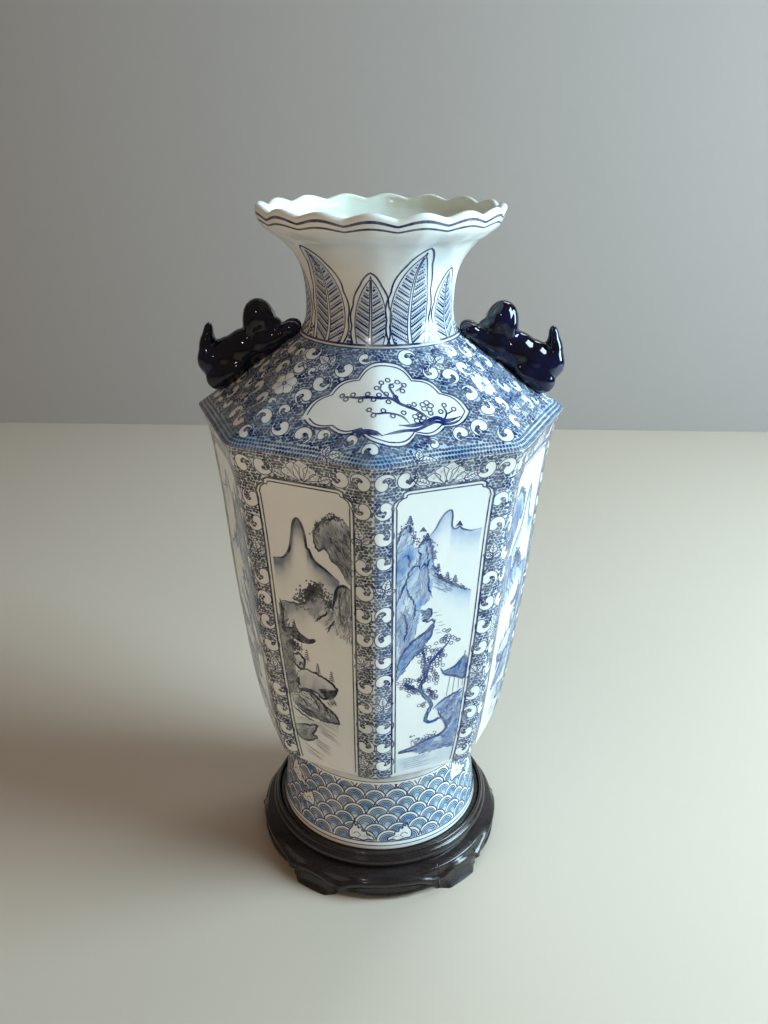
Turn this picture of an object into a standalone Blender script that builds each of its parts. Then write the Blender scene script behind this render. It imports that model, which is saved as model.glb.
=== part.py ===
"""Eight-sided porcelain vase with a scalloped neck and two crouching-lion handles, on a carved
hardwood stand.  Metres, +Z up, the stand's feet on z = 0, the vase's axis on x = y = 0.
Azimuths are degrees from the front (-Y), growing towards +X."""

import math

import bmesh
import bpy
from mathutils import Matrix, Vector

MM = 0.001

# --- driving dimensions, mm -------------------------------------------------------------------
STAND_H = 30.0          # floor to the seat's top
GAP = 0.3               # kept between pieces that touch
FOOT_Z = STAND_H + GAP  # underside of the porcelain foot; every vase height below counts from it
WALL = 4.5              # porcelain wall
SIDES = 8
ROUNDING = 60.0         # the higher, the sharper the eight corners
SCALLOPS = 16
SCALLOP_PHASE = -13.2   # azimuth of one valley of the rim
SCALLOP_H = 3.0         # valley to peak

NECK_Z = 346.0          # joint between neck and shoulder
EDGE_Z = 298.5          # the shoulder's edge
EDGE_R = 115.0          # corner radius there
NECK_R = 48.5           # neck radius at its joint
BODY_Z = 66.0           # joint between body and foot
BODY_R = 70.0           # corner radius there
FLOOR_Z = (8.0, 13.0)   # underside and top of the closed base inside the foot

# (corner radius, height): outside of the neck from the lip down
NECK_OUT = [(72.4, 416.2), (71.6, 411.5), (69.6, 407.8), (64.0, 404.2), (57.2, 400.2), (49.6, 389.5),
            (45.6, 379.0), (44.5, 366.0), (45.0, 355.0), (NECK_R, NECK_Z + GAP / 2)]
# outside of the body from the edge down
BODY_OUT = [(114.4, EDGE_Z - GAP / 2), (110.6, 288.0), (108.0, 275.0), (104.6, 244.0), (99.5, 178.0),
            (95.7, 142.5), (91.3, 106.0), (86.4, 78.0), (82.5, 71.0), (BODY_R, BODY_Z + GAP / 2)]
# outside of the foot from the body down
FOOT_OUT = [(BODY_R, BODY_Z - GAP / 2), (66.2, 62.0), (64.8, 56.0), (65.8, 47.0), (68.0, 30.0),
            (71.0, 8.0), (72.0, 1.2), (71.2, 0.0)]

SEAT_R = 75.2           # turned board that the vase stands on
SEAT_T = 10.0
RIM_IN, RIM_OUT = 75.5, 80.4
RIM_TOP, RIM_BOTTOM = STAND_H + 1.5, 21.0
APRON_R = 88.5          # widest part of the carved apron
APRON_IN = 78.0         # inside of the apron
LEDGE_R = 60.0          # inner edge of the ledge under the seat
FEET = 5
FOOT_AZ = -30.0         # azimuth of the first stand foot
FOOT_HALF = 11.5        # half of a foot's width, degrees
FOOT_TOP = 12.0         # where a foot meets the apron
LIFT = 60.0             # travel that lifts the vase clear of the stand

# ellipsoids of a handle: (radial, height, half sizes along radius, height, across; tilt degrees)
LION = [
    ("haunch", 103.0, 324.0, 11.5, 14.5, 11.0, 20.0),
    ("back", 88.0, 329.0, 17.0, 11.5, 11.0, 37.0),
    ("chest", 70.0, 339.0, 14.0, 11.0, 10.5, 37.0),
    ("mane", 79.5, 346.5, 7.0, 17.0, 9.5, 0.0),
    ("head", 72.0, 352.0, 9.5, 10.5, 9.0, -25.0),
    ("muzzle", 65.5, 348.0, 6.0, 6.0, 6.0, 0.0),
    ("paws", 54.5, 346.0, 7.0, 6.5, 9.0, 30.0),
    ("tail", 109.5, 332.0, 5.6, 16.5, 8.5, -12.0),
]


def material(name, colour, roughness):
    mat = bpy.data.materials.new(name)
    mat.use_nodes = True
    bsdf = mat.node_tree.nodes["Principled BSDF"]
    bsdf.inputs["Base Color"].default_value = (*colour, 1.0)
    bsdf.inputs["Roughness"].default_value = roughness
    bsdf.inputs["Metallic"].default_value = 0.0
    return mat


def around(az):
    a = math.radians(az)
    return math.sin(a), -math.cos(a)


def octagon(az):
    """Radius of the soft-cornered eight-sided section, 1 at a corner."""
    step = 360.0 / SIDES
    total = 0.0
    for k in range(SIDES):
        c = math.cos(math.radians(az - step * (k + 0.5)))
        if c > 0.0:
            total += c ** ROUNDING
    corner = math.cos(math.radians(step / 2)) * 2.0 ** (1.0 / ROUNDING)
    return corner / total ** (1.0 / ROUNDING)


def section(az, weight):
    return 1.0 - weight + weight * octagon(az)


def body_weight(z):
    """1 where the section is eight-sided, 0 where it is round."""
    if z >= EDGE_Z:
        return max(0.0, (NECK_Z - z) / (NECK_Z - EDGE_Z))
    t = min(1.0, max(0.0, (z - 60.0) / 18.0))
    return t * t * (3.0 - 2.0 * t)


def finish(name, bm, mat, smooth=35.0):
    bmesh.ops.remove_doubles(bm, verts=bm.verts, dist=1e-6)
    bmesh.ops.recalc_face_normals(bm, faces=bm.faces)
    mesh = bpy.data.meshes.new(name)
    bm.to_mesh(mesh)
    bm.free()
    mesh.materials.append(mat)
    mesh.shade_smooth()
    mesh.set_sharp_from_angle(angle=math.radians(smooth))
    obj = bpy.data.objects.new(name, mesh)
    bpy.context.scene.collection.objects.link(obj)
    return obj


def ring(name, azimuths, loop, mat):
    """Closed ring: loop(az) gives one closed (radius, height) section in mm for each azimuth."""
    bm = bmesh.new()
    rows = []
    for az in azimuths:
        x, y = around(az)
        rows.append([bm.verts.new((r * x * MM, r * y * MM, z * MM)) for r, z in loop(az)])
    for a, b in zip(rows, rows[1:] + rows[:1]):
        n = len(a)
        for i in range(n):
            bm.faces.new((a[i], a[(i + 1) % n], b[(i + 1) % n], b[i]))
    return finish(name, bm, mat)


def disc(name, azimuths, column, mat):
    """Closed round plate: column is its edge from the top centre to the bottom centre."""
    bm = bmesh.new()
    top = bm.verts.new((0, 0, column[0][1] * MM))
    bottom = bm.verts.new((0, 0, column[-1][1] * MM))
    rows = []
    for az in azimuths:
        x, y = around(az)
        rows.append([bm.verts.new((r * x * MM, r * y * MM, z * MM)) for r, z in column[1:-1]])
    for a, b in zip(rows, rows[1:] + rows[:1]):
        bm.faces.new((top, a[0], b[0]))
        bm.faces.new((bottom, b[-1], a[-1]))
        for i in range(len(a) - 1):
            bm.faces.new((a[i], a[i + 1], b[i + 1], b[i]))
    return finish(name, bm, mat)


def even(count, phase=0.0):
    return [phase + 360.0 * k / count for k in range(count)]


def eight_sided():
    """Azimuths that follow the soft corners."""
    steps = [0.0, 1.6, 4.5, 12.0, 22.5, 33.0, 40.5, 43.4]
    return [45.0 * k + s for k in range(SIDES) for s in steps]


def inset(profile, wall):
    """The profile moved inwards by the wall's thickness, square to its slope."""
    out = []
    for i, (r, z) in enumerate(profile):
        r0, z0 = profile[max(i - 1, 0)]
        r1, z1 = profile[min(i + 1, len(profile) - 1)]
        dr, dz = r1 - r0, z1 - z0
        length = math.hypot(dr, dz)
        out.append((r + wall * dz / length, z - wall * dr / length))
    return out


def at_joint(profile, wall, top=None, bottom=None):
    """Inner profile whose ends lie in the joint planes of the outer one."""
    inner = inset(profile, wall)
    if top is not None:
        inner[0] = (profile[0][0] - wall, top)
    if bottom is not None:
        inner[-1] = (profile[-1][0] - wall, bottom)
    return inner


# --- the vase ---------------------------------------------------------------------------------
def lobe(az):
    """0 in a valley of the rim and 1 on its peak."""
    u = ((az - SCALLOP_PHASE) % (360.0 / SCALLOPS)) / (360.0 / SCALLOPS)
    return math.sin(math.pi * u) ** 0.8


NECK_IN = at_joint(NECK_OUT, WALL, bottom=NECK_OUT[-1][1])[1:]


def neck_loop(az):
    k = lobe(az)

    def wave(r, z):
        fade = min(1.0, max(0.0, (z - 374.0) / 34.0))
        lift = min(1.0, max(0.0, (z - 404.0) / 12.0))
        return r + 1.8 * (k - 0.6) * fade, FOOT_Z + z + SCALLOP_H * k * lift

    lip = [(68.3, 412.5), (69.0, 416.0), (70.6, 417.0)]
    return [wave(r, z) for r, z in NECK_OUT + NECK_IN[::-1][:-1] + lip]


def shell_loop(profile, weight):
    inner = at_joint(profile, WALL, top=profile[0][1], bottom=profile[-1][1])[::-1]

    def loop(az):
        return [(r * section(az, weight(z)), FOOT_Z + z) for r, z in profile + inner]

    return loop


def shoulder_loop(az):
    low, high = EDGE_Z + GAP / 2, NECK_Z - GAP / 2
    edge = EDGE_R * octagon(az)
    steps = (0.0, 0.35, 0.7, 1.0)
    outer = [(NECK_R + (edge - NECK_R) * t, FOOT_Z + high + (low - high) * t) for t in steps]
    inner = [(r - WALL - 1.8 * (1 - abs(2 * t - 1)), z) for (r, z), t in zip(outer, steps)]
    return outer + inner[::-1]


def foot_column():
    low, high = FLOOR_Z
    inner = [(BODY_R - WALL, BODY_Z - GAP / 2), (61.5, 60.0), (60.6, 54.0), (61.4, 46.0), (63.6, 30.0),
             (64.6, 20.0), (64.6, 6.0), (65.4, 0.0)]
    return FOOT_OUT + inner[::-1], low, high


def build_vase(white, handle_glaze):
    ring("neck", even(4 * SCALLOPS, SCALLOP_PHASE), neck_loop, white)
    corners = eight_sided()
    ring("shoulder", corners, shoulder_loop, white)
    ring("body_wall", corners, shell_loop(BODY_OUT, body_weight), white)
    column, low, high = foot_column()
    ring("foot_ring", even(48), lambda az: [(r * section(az, body_weight(z)), FOOT_Z + z)
                                            for r, z in column], white)
    edge = 64.6 - GAP
    disc("base_floor", even(48), [(0, FOOT_Z + high), (edge, FOOT_Z + high), (edge, FOOT_Z + low),
                                  (0, FOOT_Z + low)], white)
    cutter = vase_cutter(white)
    for name, side in (("handle_left", -1.0), ("handle_right", 1.0)):
        lion(name, side, handle_glaze, cutter)


def vase_cutter(mat):
    """The outside of the shoulder and neck, one gap larger: it shapes the handles' undersides."""
    profile = [(EDGE_R + 1.0, 270.0, 1.0), (EDGE_R + GAP, EDGE_Z, 1.0),
               (EDGE_R + GAP, EDGE_Z + 1.2 * GAP, 1.0),
               (NECK_R + GAP, NECK_Z + 1.2 * GAP, 0.0), (45.0 + GAP, 355.0, 0.0),
               (44.5 + GAP, 372.0, 0.0)]
    bm = bmesh.new()
    rows = []
    azimuths = eight_sided()
    for az in azimuths:
        x, y = around(az)
        rows.append([bm.verts.new((r * section(az, w) * x * MM, r * section(az, w) * y * MM,
                                   (FOOT_Z + z) * MM)) for r, z, w in profile])
    for a, b in zip(rows, rows[1:] + rows[:1]):
        for i in range(len(a) - 1):
            bm.faces.new((a[i], a[i + 1], b[i + 1], b[i]))
    bm.faces.new([row[0] for row in rows])
    bm.faces.new([row[-1] for row in rows])
    obj = finish("cutter_vase_outside", bm, mat)
    obj.hide_render = True
    obj.display_type = "WIRE"
    return obj


def lion(name, side, mat, cutter):
    """A crouching lion facing the neck, its tail up at the shoulder's corner."""
    bm = bmesh.new()
    for _, r, z, a, b, c, tilt in LION:
        place = (Matrix.Translation(Vector((side * r * MM, 0.0, (FOOT_Z + z) * MM)))
                 @ Matrix.Rotation(math.radians(side * tilt), 4, "Y")
                 @ Matrix.Diagonal((a * MM, c * MM, b * MM, 1.0)))
        bmesh.ops.create_icosphere(bm, subdivisions=3, radius=1.0, matrix=place)
    obj = finish(name, bm, mat, 60.0)
    blend = obj.modifiers.new("blend", "REMESH")
    blend.mode = "VOXEL"
    blend.voxel_size = 2.0 * MM
    blend.use_smooth_shade = True
    soften = obj.modifiers.new("soften", "SMOOTH")
    soften.factor = 0.5
    soften.iterations = 3
    thin = obj.modifiers.new("thin", "DECIMATE")
    thin.ratio = 0.28
    cut = obj.modifiers.new("seat_on_vase", "BOOLEAN")
    cut.operation = "DIFFERENCE"
    cut.solver = "EXACT"
    cut.object = cutter
    return obj


# --- the stand --------------------------------------------------------------------------------
def foot_distance(az):
    """Degrees from the middle of the nearest stand foot."""
    step = 360.0 / FEET
    return abs((az - FOOT_AZ + step / 2) % step - step / 2)


def apron_bottom(az):
    """Height of the apron's lower edge: cut out over the feet, a hanging lobe between them."""
    d = foot_distance(az)
    t = min(1.0, max(0.0, (d - FOOT_HALF - 2.5) / 5.0))
    t = t * t * (3.0 - 2.0 * t)
    u = min(1.0, max(0.0, (d - FOOT_HALF) / (180.0 / FEET - FOOT_HALF)))
    return FOOT_TOP + GAP - (FOOT_TOP + GAP - 4.2 + 1.8 * u * u) * t


def apron_loop(az):
    low = apron_bottom(az)
    outer = [(RIM_OUT - 2.4, 20.7), (82.5, 20.0), (86.5, 18.6), (APRON_R - 0.6, 15.6),
             (APRON_R + 0.5, 0.5 * (low + 15.6)), (APRON_R - 0.8, low)]
    inner = [(APRON_IN + 3.0, low), (APRON_IN, 13.2), (LEDGE_R, 13.2), (LEDGE_R, STAND_H - SEAT_T - GAP),
             (RIM_IN - 1.5, STAND_H - SEAT_T - GAP)]
    return outer + inner


def stand_foot(name, az0, mat):
    """One scroll foot: a curved block with a flicked toe, flat on the floor."""
    bm = bmesh.new()
    rows = []
    count = 9
    for k in range(count):
        t = 2.0 * k / (count - 1) - 1.0
        x, y = around(az0 + FOOT_HALF * t)
        flick = 3.2 * abs(t) ** 3
        swell = 3.6 * (1.0 - t * t)
        rim = [(APRON_IN + 2.0, FOOT_TOP), (APRON_R - 1.0 + 0.3 * swell, FOOT_TOP),
               (APRON_R + 0.4 * swell + 0.5 * flick, 7.0), (APRON_R + 0.3 + swell + 0.6 * flick, 2.0),
               (APRON_R - 0.6 + swell + 0.6 * flick, 0.0), (APRON_IN + 3.5, 0.0)]
        rows.append([bm.verts.new((r * x * MM, r * y * MM, z * MM)) for r, z in rim])
    for a, b in zip(rows, rows[1:]):
        n = len(a)
        for i in range(n):
            bm.faces.new((a[i], a[(i + 1) % n], b[(i + 1) % n], b[i]))
    bm.faces.new(rows[0])
    bm.faces.new(rows[-1])
    return finish(name, bm, mat)


def build_stand(wood):
    disc("stand_seat", even(64), [(0, STAND_H), (SEAT_R - 0.6, STAND_H), (SEAT_R, STAND_H - 0.6),
                                  (SEAT_R, STAND_H - SEAT_T), (0, STAND_H - SEAT_T)], wood)
    section_ = [(RIM_IN, RIM_TOP - 1.0), (RIM_IN + 1.0, RIM_TOP), (RIM_IN + 2.6, RIM_TOP - 0.8),
                (RIM_OUT - 1.6, 28.6), (RIM_OUT, 26.4), (RIM_OUT, 24.0), (RIM_OUT - 1.6, RIM_BOTTOM),
                (RIM_IN, RIM_BOTTOM)]
    ring("stand_rim", even(64), lambda az: section_, wood)
    ring("stand_apron", even(120, FOOT_AZ), apron_loop, wood)
    for k in range(FEET):
        stand_foot(f"stand_foot_{k + 1}", FOOT_AZ + 360.0 / FEET * k, wood)


def main():
    for obj in list(bpy.data.objects):
        bpy.data.objects.remove(obj, do_unlink=True)
    white = material("blue_and_white_porcelain", (0.86, 0.90, 0.90), 0.12)
    dark = material("cobalt_black_glaze", (0.012, 0.016, 0.05), 0.10)
    wood = material("dark_carved_hardwood", (0.030, 0.019, 0.016), 0.32)
    build_vase(white, dark)
    build_stand(wood)


main()
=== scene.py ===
import math

import bmesh
import bpy
import numpy as np
from mathutils import Matrix, Vector


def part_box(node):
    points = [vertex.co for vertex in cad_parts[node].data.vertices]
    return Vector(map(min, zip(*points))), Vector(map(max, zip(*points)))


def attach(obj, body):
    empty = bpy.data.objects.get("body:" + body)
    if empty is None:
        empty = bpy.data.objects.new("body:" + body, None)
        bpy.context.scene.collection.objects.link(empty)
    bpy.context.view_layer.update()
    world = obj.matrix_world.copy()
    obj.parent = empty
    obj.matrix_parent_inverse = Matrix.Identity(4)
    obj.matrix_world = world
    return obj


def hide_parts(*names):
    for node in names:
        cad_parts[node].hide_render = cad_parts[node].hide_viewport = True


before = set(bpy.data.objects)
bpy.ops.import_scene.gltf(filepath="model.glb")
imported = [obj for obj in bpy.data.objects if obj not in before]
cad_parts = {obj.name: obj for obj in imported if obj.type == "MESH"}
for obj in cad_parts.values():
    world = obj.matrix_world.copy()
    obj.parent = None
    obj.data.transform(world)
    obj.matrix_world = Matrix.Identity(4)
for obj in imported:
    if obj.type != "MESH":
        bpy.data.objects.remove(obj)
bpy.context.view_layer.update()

MM = 0.001
FOOT_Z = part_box("foot_ring")[0].z / MM      # underside of the porcelain foot
STAND_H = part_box("stand_seat")[1].z / MM    # the seat's top
EDGE_Z, NECK_Z, BODY_Z = 298.5, 346.0, 66.0  # joints of the porcelain, from its underside, mm
EDGE_R, NECK_R, WALL = 115.0, 48.5, 4.5
SCALLOPS, SCALLOP_PHASE, SCALLOP_H = 16, -13.2, 3.0
rng = np.random.default_rng(7)

# --- surfaces of the vase: azimuth in degrees from the front, heights in mm from its underside -----
NECK_OUT = [(46.9, 343.0), (48.5, 346.0), (45.6, 353.0), (44.5, 360.0), (44.5, 367.0), (45.6, 379.0),
            (49.4, 389.5), (57.4, 399.6), (64.0, 404.0), (69.4, 408.2), (71.7, 412.6), (72.5, 416.4)]
BODY_OUT = [(BODY_Z, 70.0), (69.0, 79.0), (71.5, 83.6), (76.0, 86.0), (88.0, 88.4), (106.0, 91.3),
            (142.5, 95.7), (178.0, 99.5), (212.0, 102.2), (244.0, 104.7), (275.0, 108.2), (288.0, 110.8),
            (EDGE_Z, 114.9)]
FOOT_OUT = [(0.0, 71.2), (1.2, 72.0), (8.0, 71.0), (30.0, 68.0), (47.0, 65.8), (56.0, 64.8), (61.0, 65.8),
            (BODY_Z, 70.0)]


def smooth_table(points, count=400):
    """Catmull-Rom through the points, as two arrays for np.interp."""
    p = np.array(points, float)
    p = np.vstack([2 * p[0] - p[1], p, 2 * p[-1] - p[-2]])
    t = np.linspace(0, len(points) - 1, count)
    i = np.minimum(t.astype(int), len(points) - 2)
    f = (t - i)[:, None]
    a, b, c, d = (p[i + k] for k in range(4))
    q = 0.5 * (2 * b + (c - a) * f + (2 * a - 5 * b + 4 * c - d) * f ** 2 + (3 * b - a - 3 * c + d) * f ** 3)
    return q


NECK_T = smooth_table([(z, r) for r, z in NECK_OUT[1:]])
BODY_T = smooth_table(BODY_OUT)
FOOT_T = smooth_table(FOOT_OUT)


def table(t, x):
    return np.interp(x, t[:, 0], t[:, 1])


def ramp(x, a, b):
    t = np.clip((np.asarray(x, float) - a) / (b - a), 0, 1)
    return t * t * (3 - 2 * t)


def octagon(az):
    """Radius of the soft-cornered eight-sided section, 1 at a corner."""
    az = np.asarray(az, float)
    c = np.clip(np.cos(np.radians(az[..., None] - 45.0 * (np.arange(8) + 0.5))), 0, None)
    return math.cos(math.radians(22.5)) * 2 ** (1 / 60) / (c ** 60).sum(-1) ** (1 / 60)


def lobe(az):
    u = ((np.asarray(az, float) - SCALLOP_PHASE) % (360 / SCALLOPS)) / (360 / SCALLOPS)
    return np.sin(math.pi * u)


def neck_surface(az, z):
    k = lobe(az)
    r = table(NECK_T, z) + 1.2 * (k ** 2 - 0.5) * ramp(z, 384, 412)
    return r, z - 0.9 * ramp(z, 404, 416) + SCALLOP_H * k ** 1.35 * np.clip((z - 404) / 12, 0, 1)


def shoulder_surface(az, r):
    """r is the radius wanted; the surface is ruled from the neck's circle to the octagon's edge."""
    edge = EDGE_R * octagon(az)
    q = np.clip((r - NECK_R) / (edge - NECK_R), -0.05, 1)
    return NECK_R + (edge - NECK_R) * q, NECK_Z + (EDGE_Z - NECK_Z) * q


def body_surface(az, z):
    w = ramp(z, 60, 78)
    return table(BODY_T, z) * (1 - w + w * octagon(az)), z


def foot_surface(az, z):
    w = ramp(z, 60, 78)
    return table(FOOT_T, z) * (1 - w + w * octagon(az)), z


def place(az, r, z, base=None):
    a = np.radians(az)
    return np.stack([r * np.sin(a), -r * np.cos(a), z + (FOOT_Z if base is None else base)], -1) * MM


# --- painted zones: drawing coordinates (x, y) in mm to a point of the surface ---------------------
NECK_UNIT, FOOT_UNIT = 45.0, 68.0
CONE = 0.8          # about the cosine of the shoulder's slope, which develops it flat


def neck_map(x, y):
    az = np.degrees(x / NECK_UNIT)
    return place(az, *neck_surface(az, y))


def shoulder_map(x, y):
    az = np.degrees(np.arctan2(x, -y)) / CONE
    return place(az, *shoulder_surface(az, np.hypot(x, y) * CONE))


def foot_map(x, y):
    az = np.degrees(x / FOOT_UNIT)
    return place(az, *foot_surface(az, y))


def body_map(face):
    def f(x, y):
        apothem = table(BODY_T, y) * math.cos(math.radians(22.5))
        az = 22.5 + 45 * face + np.degrees(np.arctan2(x, apothem))
        return place(az, *body_surface(az, y))
    return f


def lifted(fmap, xy, lift):
    """Points of the surface, raised by lift mm along its normal."""
    x, y = xy[:, 0], xy[:, 1]
    e = 0.05
    p = fmap(x, y)
    n = np.cross(fmap(x + e, y) - p, fmap(x, y + e) - p)
    n /= np.linalg.norm(n, axis=1)[:, None] + 1e-12
    out = np.sign((n * p * (1, 1, 0)).sum(1) + 1e-9)
    return p + n * (out * lift * MM)[:, None]


def catmull(pts, step=0.9, closed=False):
    """A smooth curve through the given points, sampled about every step mm."""
    p = np.array(pts, float)
    if closed:
        p = np.vstack([p[-1], p, p[0], p[1]])
    else:
        p = np.vstack([2 * p[0] - p[1], p, 2 * p[-1] - p[-2]])
    out = []
    for a, b, c, d in zip(p, p[1:], p[2:], p[3:]):
        n = max(2, int(math.ceil(np.linalg.norm(c - b) / step)))
        f = (np.arange(n) / n)[:, None]
        out.append(0.5 * (2 * b + (c - a) * f + (2 * a - 5 * b + 4 * c - d) * f ** 2
                          + (3 * b - a - 3 * c + d) * f ** 3))
    out.append(p[-2][None] if not closed else out[0][:1])
    return np.vstack(out)


def inside(poly, pts):
    x, y = pts[:, 0], pts[:, 1]
    hit = np.zeros(len(pts), bool)
    for (x0, y0), (x1, y1) in zip(poly, np.roll(poly, 1, axis=0)):
        if y0 != y1:
            hit ^= ((y0 > y) != (y1 > y)) & (x < (x1 - x0) * (y - y0) / (y1 - y0) + x0)
    return hit


# cobalt pigments, linear
NAVY = (0.004, 0.021, 0.120)
COBALT = (0.016, 0.050, 0.27)
MIDBLUE = (0.06, 0.26, 0.60)
# INK and GREYWASH also darken the two cliff panels on the left side, partly as painted shade of that side
INK = (0.010, 0.015, 0.040)
GREYWASH = (0.13, 0.16, 0.25)
TEAL = (0.07, 0.38, 0.52)


class Paint:
    """Strokes, dots and washes drawn in a zone's flat coordinates, built as one thin sheet of paint."""

    def __init__(self, fmap):
        self.fmap = fmap
        self.xy, self.col, self.lift, self.quads, self.hexes = [], [], [], [], []
        self.n = 0
        self.kept = []

    def add(self, xy, colour, alpha, lift):
        xy = np.asarray(xy, float)
        col = np.empty((len(xy), 4))
        col[:, :3] = colour
        col[:, 3] = alpha
        self.xy.append(xy)
        self.col.append(col)
        self.lift.append(np.full(len(xy), lift))
        first = self.n
        self.n += len(xy)
        return first

    def line(self, pts, width, colour=NAVY, alpha=1.0, closed=False, taper=0.0, smooth=True, lift=0.09):
        p = catmull(pts, closed=closed) if smooth else np.asarray(pts, float)
        if len(p) < 2:
            return
        d = np.gradient(p, axis=0)
        if closed:
            d[0] = d[-1] = p[1] - p[-2]
        d /= np.linalg.norm(d, axis=1)[:, None] + 1e-9
        w = np.full(len(p), width / 2.0)
        if taper:
            t = np.linspace(0, 1, len(p))
            w *= np.clip(np.minimum(t, 1 - t) / taper, 0.25, 1)
        n = np.stack([-d[:, 1], d[:, 0]], 1) * w[:, None]
        first = self.add(np.stack([p + n, p - n], 1).reshape(-1, 2), colour, alpha, lift)
        i = first + 2 * np.arange(len(p) - 1)
        self.quads.append(np.stack([i, i + 1, i + 3, i + 2], 1))

    def marks(self, centres, length, width, angle, colour=NAVY, alpha=1.0, lift=0.10):
        """Small six-sided touches of the brush."""
        c = np.asarray(centres, float).reshape(-1, 2)
        if not len(c):
            return
        k = np.radians([0, 60, 120, 180, 240, 300])
        length, width, angle = (np.broadcast_to(np.asarray(v, float), len(c)) for v in (length, width, angle))
        px = np.cos(k)[None] * length[:, None] / 2
        py = np.sin(k)[None] * width[:, None] / 1.73
        ca, sa = np.cos(angle)[:, None], np.sin(angle)[:, None]
        xy = np.stack([c[:, :1] + px * ca - py * sa, c[:, 1:] + px * sa + py * ca], -1)
        alpha = np.repeat(np.broadcast_to(alpha, len(c)), 6)
        first = self.add(xy.reshape(-1, 2), colour, alpha, lift)
        self.hexes.append(first + np.arange(6 * len(c)).reshape(-1, 6))

    def keep(self, poly, outline=0.42, colour=NAVY, alpha=1.0):
        """Keeps the dotted ground out of a closed shape and outlines it."""
        self.kept.append(np.asarray(poly, float))
        if outline:
            self.line(np.vstack([poly, poly[:1]]), outline, colour, alpha, closed=True, smooth=False)

    def clear(self, pts, margin=0.45):
        """True for the points outside every kept shape, by a margin in mm."""
        free = np.ones(len(pts), bool)
        for poly in self.kept:
            c = (poly.max(0) + poly.min(0)) / 2
            poly = c + (poly - c) * (1 + margin / ((poly.max(0) - poly.min(0)) / 2))
            near = free & (pts >= poly.min(0)).all(1) & (pts <= poly.max(0)).all(1)
            i = np.flatnonzero(near)
            if len(i):
                free[i[inside(poly, pts[i])]] = False
        return free

    def stipple(self, pts, size=1.0, angle=0.0, colour=NAVY):
        pts = pts[self.clear(pts)]
        n = len(pts)
        self.marks(pts, size * (1.0 + 0.28 * rng.random(n)), size * (0.72 + 0.25 * rng.random(n)),
                   angle + rng.normal(0, 0.4, n), colour, 0.86 + 0.14 * rng.random(n))

    def grid(self, x, y, rgba, lift=0.035, least=0.012):
        """A wash: x and y are grids, rgba its colour and strength; empty cells are left out."""
        h, w = x.shape
        a = rgba[..., 3]
        full = np.maximum.reduce([a[:-1, :-1], a[1:, :-1], a[:-1, 1:], a[1:, 1:]]) > least
        idx = np.arange(h * w).reshape(h, w)
        q = np.stack([idx[:-1, :-1][full], idx[:-1, 1:][full], idx[1:, 1:][full], idx[1:, :-1][full]], 1)
        used, inv = np.unique(q, return_inverse=True)
        first = self.add(np.stack([x.ravel()[used], y.ravel()[used]], 1),
                         rgba.reshape(-1, 4)[used, :3], rgba.reshape(-1, 4)[used, 3], lift)
        self.quads.append(first + inv.reshape(-1, 4))

    def build(self, name, mat, body="vase"):
        xy, col, lift = np.vstack(self.xy), np.vstack(self.col), np.concatenate(self.lift)
        co = lifted(self.fmap, xy, lift)
        quads = outward(co, np.vstack(self.quads) if self.quads else np.empty((0, 4), int))
        hexes = outward(co, np.vstack(self.hexes) if self.hexes else np.empty((0, 6), int))
        loops = np.concatenate([quads.ravel(), hexes.ravel()])
        starts = np.concatenate([4 * np.arange(len(quads)), quads.size + 6 * np.arange(len(hexes))])
        me = bpy.data.meshes.new(name)
        me.vertices.add(len(co))
        me.vertices.foreach_set("co", co.astype(np.float32).ravel())
        me.loops.add(len(loops))
        me.loops.foreach_set("vertex_index", loops.astype(np.int32))
        me.polygons.add(len(starts))
        me.polygons.foreach_set("loop_start", starts.astype(np.int32))
        me.update(calc_edges=True)
        attr = me.color_attributes.new("paint", "FLOAT_COLOR", "POINT")
        attr.data.foreach_set("color", col.astype(np.float32).ravel())
        me.shade_smooth()
        return piece(name, me, mat, body)


def outward(co, faces):
    """The same faces, each turned to look away from the vase's axis."""
    p = co[faces]
    n = np.cross(p[:, 1] - p[:, 0], p[:, 2] - p[:, 0]) + np.cross(p[:, 2] - p[:, 0], p[:, 3] - p[:, 0])
    bad = (n * p[:, 0] * (1, 1, 0)).sum(1) < 0
    return np.where(bad[:, None], faces[:, ::-1], faces)


def piece(name, me, mat, body, replaces=()):
    if not me.materials:
        me.materials.append(mat)
    ob = bpy.data.objects.new(name, me)
    bpy.context.scene.collection.objects.link(ob)
    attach(ob, body)
    if replaces:
        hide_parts(*replaces)
    return ob


def sheet_mesh(name, rows, closed_rows=True, smooth=True):
    """Mesh from a grid of points: rows[i][j]; columns always close round, rows when closed_rows."""
    rows = np.asarray(rows)
    n, m = rows.shape[:2]
    idx = np.arange(n * m).reshape(n, m)
    nxt = np.roll(idx, -1, axis=0)
    a, b = idx, nxt
    if closed_rows:
        a2, b2 = np.roll(idx, -1, axis=1), np.roll(nxt, -1, axis=1)
    else:
        a, b, a2, b2 = idx[:, :-1], nxt[:, :-1], idx[:, 1:], nxt[:, 1:]
    faces = np.stack([a, a2, b2, b], -1).reshape(-1, 4)
    me = bpy.data.meshes.new(name)
    me.from_pydata(rows.reshape(-1, 3).tolist(), [], faces.tolist())
    me.update()
    vol = 0.0
    co = rows.reshape(-1, 3)
    p, q, r = co[faces[:, 0]], co[faces[:, 1]], co[faces[:, 2]]
    s = co[faces[:, 3]]
    vol = (p * np.cross(q, r)).sum() + (p * np.cross(r, s)).sum()
    if vol < 0:
        me.flip_normals()
    if smooth:
        me.shade_smooth()
    return me


# --- materials -------------------------------------------------------------------------------------
def new_material(name):
    mat = bpy.data.materials.new(name)
    mat.use_nodes = True
    nt = mat.node_tree
    return mat, nt, nt.nodes["Principled BSDF"]


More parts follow.
